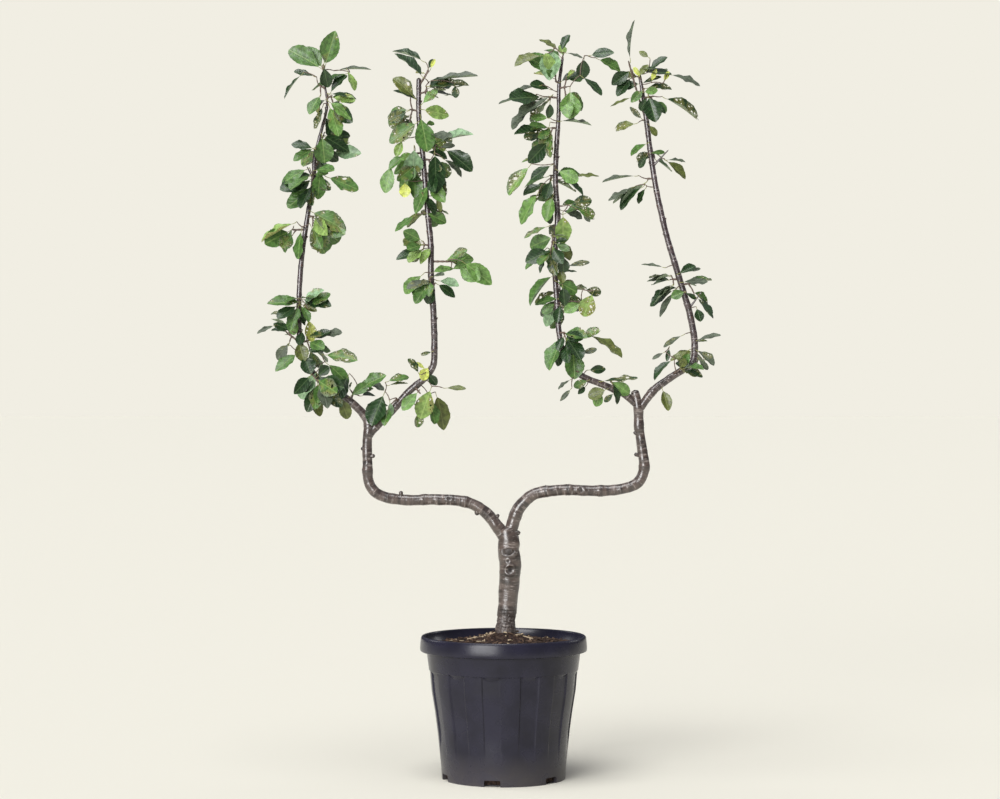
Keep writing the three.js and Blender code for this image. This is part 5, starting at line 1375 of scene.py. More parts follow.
WHOLE_BLADES = (
    BladePattern(), BladePattern(fullest=1.3, blunt=0.32), BladePattern(fullest=0.98, blunt=0.12),
    BladePattern(fullest=1.2, blunt=0.2))
HOLED_BLADES = (
    BladePattern(holes=shot_holes(3, 4, (0.013, 0.05))),
    BladePattern(holes=shot_holes(11, 5, (0.012, 0.04)), fullest=1.3),
    BladePattern(holes=shot_holes(73, 2, (0.015, 0.06)), fullest=0.98, blunt=0.12),
    BladePattern(holes=shot_holes(31, 3, (0.015, 0.06)), bites=((0.31, 0.62, 0.07),)))
RAGGED_BLADES = (
    BladePattern(holes=shot_holes(23, 13, (0.013, 0.085))),
    BladePattern(holes=shot_holes(59, 16, (0.012, 0.07)), fullest=1.2),
    BladePattern(
        holes=shot_holes(47, 11, (0.014, 0.075)), bites=((-0.27, 0.74, 0.08),), fullest=1.0, blunt=0.2),
    BladePattern(holes=shot_holes(61, 12, (0.013, 0.08)), bites=((0.05, 1.0, 0.11),)))


@dataclass
class Sheets:
    """Vertices, faces and the values kept on them, gathered for one joined piece."""

    vertices: list[Array] = field(default_factory=list)
    faces: list[list[int]] = field(default_factory=list)
    maps: list[Array] = field(default_factory=list)
    scorches: list[Array] = field(default_factory=list)
    count: int = 0

    def add(
        self, vertices: Array, faces: Iterable[Iterable[int]], places: Array | None = None,
        scorch: Array | None = None
    ) -> None:
        """Adds a shape, with its own map and how scorched it is where it has them."""
        self.vertices.append(vertices)
        self.faces += [[i + self.count for i in face] for face in faces]
        self.count += len(vertices)
        if places is not None:
            self.maps.append(places)
            self.scorches.append(scorch)

    def made(self, name: str) -> Object:
        """Makes one object of everything added, smooth shaded."""
        piece = mesh_object(name, np.concatenate(self.vertices), self.faces)
        if self.maps:
            blade = piece.data.uv_layers.new(name="blade")
            corners = np.empty(len(piece.data.loops), dtype=np.int32)
            piece.data.loops.foreach_get("vertex_index", corners)
            blade.data.foreach_set("uv", np.concatenate(self.maps)[corners].ravel())
            keep_attribute(piece.data, "scorch", "FLOAT", np.concatenate(self.scorches))
        choose(piece)
        bpy.ops.object.shade_smooth()
        return piece

    def hand_over(self, name: str, finish: Finish, slot: str, nodes: Iterable[str]) -> None:
        """Makes the piece of everything added and hands it over."""
        hand_over(self.made(name), name, finish, slot, nodes)


def tube(places: Array, radii: Iterable[float], sides: int) -> Shape:
    """Sweeps a closed tube along places.

    Args:
        places: the middles of its rings.
        radii: each ring's radius.
        sides: how many faces go round.

    Returns:
        Its vertices and faces.
    """
    heading = unit(places[-1] - places[0])
    guide = FRONT if abs(heading[2]) > 0.9 else UP
    side = unit(np.cross(heading, guide))
    up = np.cross(side, heading)
    turns = math.tau * np.arange(sides) / sides
    ring = np.cos(turns)[:, None] * side + np.sin(turns)[:, None] * up
    vertices = np.concatenate([place + ring * radius for place, radius in zip(places, radii)])
    faces = []
    for level in range(len(places) - 1):
        for i in range(sides):
            a, b = level * sides + i, level * sides + (i + 1) % sides
            faces.append([a, a + sides, b + sides, b])
    last = (len(places) - 1) * sides
    faces.append(list(range(sides)))
    faces.append([last + i for i in reversed(range(sides))])
    return vertices, faces


@dataclass
class Foliage:
    """Spurs, side twigs, stalks and leaves: those seen one by one, and the part's seeded rule between them.

    The rule's own leaves keep their places, and smaller ones come between them, wherever the photograph shows
    growth. Where it shows sky there is none. `plain_masses` are those that stand against the sky in the
    photograph, so that a leaf of theirs needs more growth around it and must be behind all others.
    """

    sprig_seed: int = 4242
    look_seed: int = 777
    fine_seed: int = 500
    dress_seed: int = 900
    tries: int = 14
    leaf_margin: float = 3.5
    fine_margin: float = 2.6
    limb_margin: float = 3.4
    space_margin: float = 0.5
    companions: float = 0.9
    companion_scale: tuple[float, float] = (0.5, 0.8)
    fold: tuple[float, float] = (0.12, 0.62)
    wave: tuple[float, float] = (0.012, 0.05)
    thickness: float = 0.4
    scorch: float = 0.5
    twig_diameter: float = 4.2
    side_twig_diameter: float = 3.0
    sprig_diameter: float = 2.1
    twig_core: float = 0.4
    touching: float = 0.3
    stalk_diameter: float = 1.3
    pixel_mm: float = 1.857
    natural_width: float = 0.56
    narrow_width: float = 0.34
    narrow_pixels: float = 6.0
    lean: tuple[float, float] = (-24, 24)
    roll: tuple[float, float] = (0, 14)
    curl: tuple[float, float] = (0.03, 0.17)
    first_depth: tuple[float, float] = (-24, -3)
    depth_over_wood: float = -9.0
    step_back: float = 3.0
    steps: int = 20
    steps_over_wood: int = 14
    points_over_wood: int = 2
    eased: tuple[float, float] = (1, 0.4)
    meeting: float = 75.0
    seen_apart: float = 5.0
    behind: float = 1.2
    off_wood_by: tuple[float, float] = (1.2, 1.0)
    sprig_margin: float = 2.2
    growth_margin: float = 1.8
    grown_within: float = 6.0
    full_share: float = 0.66
    fine_share: float = 0.85
    plain_share: float = 0.85
    plain_masses: tuple[str, ...] = tuple(f"leaves_{name}" for name in (
        "left_outer_tip", "left_inner_tip", "left_inner_foot_right", "right_inner_tip",
        "right_inner_foot_outer", "right_inner_foot_inner", "right_outer_side_shoot",
        "right_outer_upper_right"))

    def __post_init__(self) -> None:
        """Sets the spurs on their cordons, cuts the blades and gathers the wood that leaves keep clear of."""
        self.placed = [
            PlacedSpur(spur, cordon.run, f"leaves_{cordon.name}_{spur.name}", 1000 * (number + 1) + i)
            for number, cordon in enumerate(CORDONS) for i, spur in enumerate(cordon.spurs)]
        runs = (LEFT_ARM, LEFT_INNER, RIGHT_ARM, RIGHT_INNER, RIGHT_OUTER)
        snag_places, snag_radii = zip(*(
            snag.at(share) for limb in LIMBS for snag in limb.snags for share in (0.5, 0.75, 1)))
        self.wood = np.concatenate([*(run.places for run in runs), np.array(snag_places)])
        self.wood_radii = np.concatenate([*(run.radii for run in runs), np.array(snag_radii)])
        self.middles = np.array([placed.middle for placed in self.placed])
        self.weights = np.array([(placed.spur.leaf_length * 0.6) ** 2 for placed in self.placed])
        self.whole, self.holed, self.ragged = (
            [pattern.cut() for pattern in blades] for blades in (WHOLE_BLADES, HOLED_BLADES, RAGGED_BLADES))
        self.sprigs: list[tuple[Leaf, str]] = []
        self.sprig_points: list[Array] = []

    def in_own_space(self, points: Array, number: int, margin: float) -> bool:
        """Returns True where all points lie in a spur's own space, clear of every other spur's."""
        powers = ((points[:, None, :] - self.middles[None]) ** 2).sum(axis=2) - self.weights
        apart = np.linalg.norm(self.middles - self.middles[number], axis=1)
        room = powers - powers[:, number:number + 1] - 2 * apart * margin
        room[:, number] = 1
        return bool((room > 0).all())

    def off_wood(self, points: Array, margin: float) -> bool:
        """Returns True where all points are clear of the wood."""
        to_wood = np.linalg.norm(points[:, None, :] - self.wood[None], axis=2)
        return bool((to_wood > self.wood_radii + margin).all())

    @staticmethod
    def apart_from(points: Array, others: list[Array], margin: float) -> bool:
        """Returns True where all points are clear of all the other leaves' points."""
        if not others:
            return True
        gaps = np.linalg.norm(points[:, None, :] - np.concatenate(others)[None], axis=2)
        return bool((gaps >= margin).all())

    def fits(self, points: Array, number: int, grown: list[Array], margin: float) -> bool:
        """Returns True where a leaf's points keep to its spur's space, clear of wood and of other leaves."""
        at_home = self.in_own_space(points, number, self.space_margin)
        return at_home and self.off_wood(points, self.limb_margin) and self.apart_from(points, grown, margin)

    def set_leaf(self, sprig: Sprig, depth: float, lean: float, roll: float, curl: float) -> Leaf:
        """Sets a leaf so that it looks from the front as the photograph shows it.

        Args:
            sprig: the leaf's place, width and look in the photograph.
            depth: how far back its blade starts, in millimetres.
            lean: how far its tip leans to the front, in degrees.
            roll: how far it is turned about its midrib beyond what its width shows, in degrees.
            curl: how far its tip bows back, as a share of its length.

        Returns:
            The leaf.
        """
        base = at_pixel(sprig.base_x, sprig.base_y, depth)
        seen = float(np.linalg.norm(at_pixel(sprig.tip_x, sprig.tip_y, depth) - base))
        tip = at_pixel(sprig.tip_x, sprig.tip_y, depth - seen * math.tan(math.radians(lean)))
        length = float(np.linalg.norm(tip - base))
        direction = (tip - base) / length
        seen_width = sprig.width * self.pixel_mm
        natural = self.natural_width if sprig.width > self.narrow_pixels else self.narrow_width
        width = max(seen_width / math.cos(math.radians(roll)), natural * seen)
        turn = math.acos(clamp(seen_width / width, 0.12, 1))
        across = unit(np.cross(FRONT, direction))
        across = across if across[2] > -0.1 else -across
        side = unit(np.cross(direction, FRONT * math.cos(turn) + across * math.sin(turn)))
        stalk = clamp(length * 0.2, 5, 10)
        root, normal = base - direction * stalk, np.cross(side, direction)
        return Leaf(0, root, direction, side, normal, length, width, stalk, curl)

    def behind_others(self, points: Array) -> bool:
        """Returns True where all points are behind every leaf set so far that they meet in the view."""
        middle = points.mean(axis=0)
        for others in self.sprig_points:
            if np.abs(others.mean(axis=0) - middle)[[0, 2]].max() < self.meeting:
                further = points[:, None, 1] - others[None, :, 1]
                if ((apart_in_view(points, others) < self.seen_apart) & (further < self.behind)).any():
                    return False
        return True

    def clear_of_sprigs(self, points: Array, margin: float) -> bool:
        """Returns True where all points are clear of every leaf set so far."""
        middle = points.mean(axis=0)
        near = [
            others for others in self.sprig_points
            if np.abs(others.mean(axis=0) - middle).max() < self.meeting]
        return self.apart_from(points, near, margin)

    def find_room(self, tested: list[Leaf]) -> Leaf | None:
        """Finds room for a leaf seen by itself.

        Args:
            tested: the leaf at each place that it can have, in order.

        Returns:
            The first of them that is behind all leaves it meets in the view, or else that is clear of them,
            or None where there is no room.
        """
        def free(points: Array) -> bool:
            """Returns True where points are clear of the leaves set so far."""
            return self.clear_of_sprigs(points, self.sprig_margin)

        for margin, allowed in zip(self.off_wood_by, (self.behind_others, free)):
            for leaf in tested:
                points = leaf.spread_points()[Leaf.ACROSS:]
                if self.off_wood(points, margin) and allowed(points):
                    return leaf
        return None

    def set_sprigs(self) -> None:
        """Sets the leaves seen one by one, each as near the front as those before it allow."""
        draw = seeded(self.sprig_seed)
        for sprig in SPRIGS:
            lean, roll = between(draw, self.lean), between(draw, self.roll)
            curl, first = between(draw, self.curl), between(draw, self.first_depth)
            flat = self.set_leaf(sprig, 0, 0, roll, curl).spread_points()
            on_wood = apart_in_view(flat, self.wood) < self.wood_radii
            start, step, steps = first, self.step_back, self.steps
            if on_wood.any(axis=1)[Leaf.ACROSS:].sum() > self.points_over_wood:
                start, step, steps = self.depth_over_wood, -self.step_back, self.steps_over_wood
            chosen = self.find_room([
                self.set_leaf(sprig, start + i * step, lean * ease, roll, curl)
                for ease in self.eased for i in range(steps)])
            if chosen is None:
                log.info("no room for the leaf at %d, %d", sprig.base_x, sprig.base_y)
                continue
            self.sprigs.append((chosen, sprig.look))
            self.sprig_points.append(chosen.spread_points())
        self.grown_view = np.concatenate(self.sprig_points)[:, [0, 2]]
        log.info("%d leaves set one by one, %d left out", len(self.sprigs), len(SPRIGS) - len(self.sprigs))

    def grown_share(self, points: Array) -> float:
        """Returns the share of points that the front view shows among the leaves set one by one."""
        apart = np.linalg.norm(points[:, None, [0, 2]] - self.grown_view[None], axis=2)
        return float((apart.min(axis=1) < self.grown_within).mean())

    def carry(self, twigs: Sheets) -> None:
        """Runs a twig to each leaf set by itself from the nearest wood or twig."""
        shares = np.linspace(0.2, 1, 5)[:, None]
        places = np.concatenate(
            [self.wood] + [placed.start + (placed.tip - placed.start) * shares for placed in self.placed])
        twig_radii = np.full(len(places) - len(self.wood), self.twig_diameter * self.twig_core)
        radii = np.concatenate([self.wood_radii, twig_radii])
        roots = np.array([leaf.root for leaf, _ in self.sprigs])
        to_wood = [(np.linalg.norm(self.wood - root, axis=1) - self.wood_radii).min() for root in roots]
        for count, number in enumerate(np.argsort(to_wood)):
            root = roots[number]
            gaps = np.linalg.norm(places - root, axis=1) - radii
            nearest = int(gaps.argmin())
            if gaps[nearest] < self.touching:
                continue
            start = places[nearest]
            bend = unit(np.cross(root - start, FRONT) + UP * 0.01) * (1 if count % 2 else -1)
            twigs.add(*self.twig(start, root, self.sprig_diameter, bend, count))
            places = np.concatenate([places, start + (root - start) * np.linspace(0.4, 1, 4)[:, None]])
            radii = np.concatenate([radii, np.full(4, self.sprig_diameter * self.twig_core)])

    def shows(self, points: Array, mass: str, share: float) -> bool:
        """Returns True where the photograph shows growth at a leaf and nothing against it in front.

        Args:
            points: the leaf's points.
            mass: the leaf mass that it belongs to.
            share: how much of the leaf must be among those set one by one, as seen from the front.
        """
        plain = mass in self.plain_masses
        outer = points[Leaf.ACROSS:]
        enough = self.grown_share(points) >= (self.plain_share if plain else share)
        clear = enough and self.clear_of_sprigs(outer, self.growth_margin)
        return clear and (not plain or self.behind_others(outer))

    def grow(self, number: int) -> tuple[list[tuple[Leaf, Tone]], list[tuple[Leaf, Tone]]]:
        """Grows a spur's leaves, and then smaller ones between them.

        Args:
            number: the spur's place among all the placed spurs.

        Returns:
            The part's own leaves and the smaller ones, each with its tone.
        """
        placed = self.placed[number]
        tones = [Tone(letter) for letter in placed.spur.tones]
        grown: list[Array] = []
        full: list[tuple[Leaf, Tone]] = []
        fine: list[tuple[Leaf, Tone]] = []
        draw = seeded(placed.seed)
        for index in range(placed.spur.leaves):
            for attempt in range(self.tries):
                leaf = placed.draw_leaf(index, attempt, draw)
                points = leaf.spread_points()
                if self.fits(points, number, grown, self.leaf_margin):
                    grown.append(points[Leaf.ACROSS:])
                    if self.shows(points, placed.mass, self.full_share):
                        full.append((leaf, tones[index % len(tones)]))
                    break
        draw = seeded(placed.seed + self.fine_seed)
        for step in range(round(placed.spur.leaves * self.companions)):
            index = (step + 0.5) / self.companions
            scale = between(draw, self.companion_scale)
            for attempt in range(self.tries):
                leaf = placed.draw_leaf(min(index, placed.spur.leaves - 1), attempt, draw, scale)
                points = leaf.spread_points()
                if self.fits(points, number, grown, self.fine_margin) and (
                        self.shows(points, placed.mass, self.fine_share)):
                    grown.append(points[Leaf.ACROSS:])
                    fine.append((leaf, tones[int(index) % len(tones)]))
                    break
        return full, fine

    def blade(self, leaf: Leaf, patterns: list, draw: Draw) -> tuple[Array, ...]:
        """Shapes one blade: folded up along its midrib, waved at its edges and bowed back to its tip.

        Args:
            leaf: the leaf's frame.
            patterns: the cut blades to choose from.
            draw: the source of random numbers.

        Returns:
            The upper vertices, the lower vertices, the triangles, the map and how scorched each vertex is.
        """
        across_along, triangles, rims = patterns[int(draw() * len(patterns)) % len(patterns)]
        mirrored = draw() < 0.5
        x, v = across_along[:, 0] * (-1 if mirrored else 1), across_along[:, 1]
        w = x * leaf.width / BladePattern.width
        fold, wave, turn = between(draw, self.fold), between(draw, self.wave), draw() * math.tau
        lift = np.abs(w) * fold + (np.abs(x) / (BladePattern.width / 2)) ** 2 * wave * leaf.length * np.sin(
            v * 15 + turn + np.where(x < 0, 1.3, 0))
        twist = (draw() - 0.5) * 0.5 * v * w
        upper = leaf.on_blade(v, w) + leaf.normal * (lift + twist)[:, None]
        lower = upper - leaf.normal * np.where(rims > 0, 0, self.thickness)[:, None]
        if mirrored:
            triangles = triangles[:, ::-1]
        scorch = np.where(rims == BladePattern.AT_HOLE, self.scorch, 0.0)
        return upper, lower, triangles, np.stack([x / BladePattern.width + 0.5, v], axis=1), scorch

    def stalk(self, leaf: Leaf) -> Shape:
        """Shapes a leaf's stalk, which sags a little and runs into its midrib."""
        shares = np.array([0, 0.35, 0.7, 1.0])
        places = leaf.root + leaf.direction * (leaf.stalk * 1.03) * shares[:, None]
        places -= leaf.normal * (np.sin(np.pi * shares) * leaf.stalk * 0.08)[:, None]
        radius = self.stalk_diameter / 2
        return tube(places, [radius * 1.25, radius, radius * 0.9, radius * 0.8], 5)

    def twig(self, start: Array, end: Array, diameter: float, bend: Array, phase: float) -> Shape:
        """Shapes a spur's knobbly twig with a swelling every few millimetres and a blunt end."""
        length = float(np.linalg.norm(end - start))
        count = max(5, round(length / 2.2))
        shares = np.linspace(0, 1, count + 1)
        places = start + (end - start) * shares[:, None]
        places += bend * (np.sin(np.pi * shares) * 0.06 * length)[:, None]
        radii = diameter / 2 * (1 - 0.25 * shares) * (1 + 0.14 * np.sin(shares * length / 1.4 + phase))
        radii[0] *= 1.25
        radii[-1] *= 0.55
        return tube(places, radii, 8)

    def build(self) -> None:
        """Grows everything and hands it over, joined by kind."""
        tops = {tone: Sheets() for tone in Tone}
        green_backs, yellow_backs, twigs, stalks = (Sheets() for _ in range(4))

        def dress(leaf: Leaf, tone: Tone, patterns: list, draw: Draw) -> None:
            """Adds one leaf's upper side, underside and stalk to the sheets of their kind."""
            upper, lower, triangles, places, scorch = self.blade(leaf, patterns, draw)
            tops[tone].add(upper, triangles, places, scorch)
            backs = yellow_backs if tone in (Tone.YELLOW, Tone.LIGHT) else green_backs
            backs.add(lower, triangles[:, ::-1], places, scorch)
            stalks.add(*self.stalk(leaf))

        self.set_sprigs()
        draw_looks = seeded(self.look_seed)
        for leaf, look in self.sprigs:
            dress(leaf, Tone(look[0]), (self.whole, self.holed, self.ragged)[int(look[1])], draw_looks)
        for number, placed in enumerate(self.placed):
            full, fine = self.grow(number)
            draw = seeded(placed.seed + self.dress_seed)
            for leaf, tone in full + fine:
                blades = self.holed + self.ragged if draw() < placed.spur.eaten else self.whole
                dress(leaf, tone, blades, draw)
            bend = unit(np.cross(placed.axis, placed.along) + UP * 0.01)
            twigs.add(*self.twig(placed.start, placed.tip, self.twig_diameter, bend, number))
            for way in (1, -1) if placed.spur.reach > 0 else ():
                used = max([0.0] + [way * leaf.place for leaf, _ in full + fine])
                if used > PlacedSpur.TWIG_FROM:
                    end = lerp(placed.fork, placed.twig_end(way), used)
                    twigs.add(*self.twig(placed.fork, end, self.side_twig_diameter, placed.axis, number))
            log.info("%s: %d leaves of the rule and %d smaller ones", placed.mass, len(full), len(fine))
        self.carry(twigs)
        masses = tuple(placed.mass for placed in self.placed)
        for tone, sheets in tops.items():
            sheets.hand_over(f"leaves_{tone.name.lower()}", LEAF_FINISHES[tone], "foliage", masses)
        green_backs.hand_over("leaf_undersides", GREEN_UNDERSIDE, "foliage", masses)
        yellow_backs.hand_over("light_leaf_undersides", YELLOW_UNDERSIDE, "foliage", masses)
        stalks.hand_over("leaf_stalks", STALK_SKIN, "foliage", masses)
        twigs.hand_over("spur_twigs", SPUR_SKIN, "young_bark", masses)


def drawn_up(segments: int, path: list[tuple[float, float]], pointed: bool) -> Object:
    """Draws a circle up through a path, as a closed form with its faces outwards.

    Args:
        segments: how many edges go round.
        path: each ring's radius and height in millimetres, from the underside on.
        pointed: True where the last ring shrinks to a point, False where a face closes it.

    Returns:
        The form.
    """
    (radius, bottom), *others = path
    deselect()
    bpy.ops.mesh.primitive_circle_add(
        vertices=segments, radius=radius * MM, fill_type="NOTHING", location=(0, 0, bottom * MM))
    form = bpy.context.object
    bpy.ops.object.transform_apply(location=True)
    bpy.ops.object.mode_set(mode="EDIT")
    bpy.ops.mesh.select_all(action="SELECT")
    height = bottom
    for next_radius, next_height in others:
        rise = (0, 0, (next_height - height) * MM)
        bpy.ops.mesh.extrude_region_move(TRANSFORM_OT_translate={"value": rise})
        scale = next_radius / radius
        bpy.ops.transform.resize(value=(scale, scale, 1))
        radius, height = next_radius, next_height
    if pointed:
        bpy.ops.mesh.merge(type="CENTER")
    else:
        bpy.ops.mesh.edge_face_add()
    bpy.ops.mesh.select_all(action="DESELECT")
    bpy.ops.object.mode_set(mode="OBJECT")
    for edge in form.data.edges:
        edge.select = all(form.data.vertices[i].co.z < (bottom + 0.1) * MM for i in edge.vertices)
    bpy.ops.object.mode_set(mode="EDIT")
    bpy.ops.mesh.select_mode(type="EDGE")
    bpy.ops.mesh.edge_face_add()
    bpy.ops.mesh.select_all(action="SELECT")
    bpy.ops.mesh.normals_make_consistent(inside=False)
    bpy.ops.object.mode_set(mode="OBJECT")
    return form


@dataclass
class Container:
    """The round fluted container: a circle drawn up through its wall, over its rim and down inside."""

    segments: int = 480
    height: float = 264.0
    foot_radius: float = 114.5
    rim_radius: float = 155.0
    lip_radius: float = 147.0
    band_bottom: float = 236.0
    floor: float = 3.0
    wall: float = 2.6
    flute_room: float = 2.4
    wall_radii: tuple[tuple[float, float], ...] = (
        (0, 114.5), (24, 116), (51, 119), (89, 124), (126, 129), (163, 135), (198, 138), (236, 143))
    panels: int = 24
    flute_phase: float = -9.5
    flute_depth: float = 2.5
    flute_hollow: float = 0.6
    flute_edge: float = 1.1
    flute_bottom: float = 36.0
    flute_fade: float = 60.0
    step_height: float = 201.5
    step_depth: float = 1.3
    step_slope: float = 1.2
    scoop: float = 7.0
    notches: int = 6
    notch_phase: float = -10.5
    notch_width: float = 30.0
    notch_height: float = 12.0
    notch_reach: float = 26.0
    notch_corner: float = 2.5
    sharp_from: float = 32.0

    def radius(self, height: float) -> float:
        """Returns the outer wall's radius at a height."""
        return float(np.interp(height, [z for z, _ in self.wall_radii], [r for _, r in self.wall_radii]))

    def profile(self) -> list[tuple[float, float]]:
        """Returns the wall's profile as (radius, height): up the outside, over the rim, down to the floor."""
        outside = [(self.radius(z), z) for z in (
            1.5, 6, 12, 18, 24, 32, *np.arange(38, 184, 6.0), *np.arange(184, 204, 1.25), 208, 216, 225, 233)]
        under_rim = self.radius(self.band_bottom - 1)
        # The rim's outside and top, by how far they lie within its widest place, and then its lip
        rim = [(self.rim_radius - inset, z) for inset, z in (
            (2.6, 235.8), (0.7, 236.8), (0.1, 238.6), (0, 242), (0.25, 247), (0.7, 252), (1.2, 256.5),
            (1.7, 260.2), (2.4, 262.2), (3.5, 263.5), (4.8, self.height))]
        lip = [(self.lip_radius + out, z) for out, z in ((1.4, 263.7), (0.4, 262.6), (0, 260.8), (-0.9, 252))]
        inner = under_rim - self.wall - self.flute_room
        inside = [(inner + 1.8, 243), (inner, 237)]
        inside += [(self.radius(z) - self.wall - self.flute_room, z) for z in (200, 160, 120, 80, 40, 12)]
        inside += [(self.radius(self.floor) - self.wall - 4, self.floor)]
        return [*outside, (under_rim + 0.2, 235.4), *rim, *lip, *inside]

    def depth(self, angle: float, height: float) -> float:
        """Returns how far the flutes press in the wall at an angle from the front and a height."""
        pitch = 720 / self.panels
        panel = (angle - self.flute_phase) / pitch
        from_middle = abs(panel - round(panel)) * pitch
        half = pitch / 4
        across = float(smooth(half + self.flute_edge / 2 - from_middle, 0, self.flute_edge))
        hollow = 1 - min(from_middle / half, 1.0) ** 2
        below_step = self.step_height - height
        scooped = clamp(below_step / (self.step_slope + self.scoop * hollow), 0, 1)
        stepped = clamp(below_step / self.step_slope, 0, 1)
        fading = float(smooth(height, self.flute_bottom, self.flute_bottom + self.flute_fade))
        pressed = across * (self.flute_depth + self.flute_hollow * hollow) * scooped
        return fading * (pressed + self.step_depth * stepped * (1 - across * (1 - scooped)))

    def press_flutes(self, pot: Object) -> None:
        """Presses the flutes into the outer wall."""
        for vertex in pot.data.vertices:
            x, y, height = (value / MM for value in vertex.co)
            radius = math.hypot(x, y)
            if radius > self.radius(height) - 0.05 and 1 < height < self.band_bottom - 1:
                depth = self.depth(math.degrees(math.atan2(x, -y)), height)
                vertex.co.x *= 1 - depth / radius
                vertex.co.y *= 1 - depth / radius

    def cut_notches(self, pot: Object) -> None:
        """Cuts the drainage notches out of the foot with round-cornered blocks."""
        blocks = []
        for number in range(self.notches):
            turn = math.radians(self.notch_phase + 360 / self.notches * number)
            x, y = math.sin(turn) * self.foot_radius * MM, -math.cos(turn) * self.foot_radius * MM
            bpy.ops.mesh.primitive_cube_add(
                size=MM, location=(x, y, 0), rotation=(0, 0, turn),
                scale=(self.notch_width, self.notch_reach, self.notch_height * 2))
            blocks.append(bpy.context.object)
        join(blocks)
        cutter = bpy.context.object
        bpy.ops.object.transform_apply(location=True, rotation=True, scale=True)
        rounded = cutter.modifiers.new("rounded", "BEVEL")
        rounded.width = self.notch_corner * MM
        rounded.segments = 3
        choose(pot)
        cut = pot.modifiers.new("notches", "BOOLEAN")
        cut.object = cutter
        cut.operation = "DIFFERENCE"
        cut.solver = "EXACT"
        bpy.ops.object.modifier_apply(modifier=cut.name)
        bpy.data.objects.remove(cutter)

    def build(self) -> None:
        """Builds the container and hands it over."""
        pot = drawn_up(self.segments, [(self.foot_radius, 0.0), *self.profile()], pointed=False)
        self.press_flutes(pot)
        self.cut_notches(pot)
        choose(pot)
        bpy.ops.object.shade_smooth_by_angle(angle=math.radians(self.sharp_from))
        hand_over(pot, "container", CONTAINER_PLASTIC, "container", ("pot",))


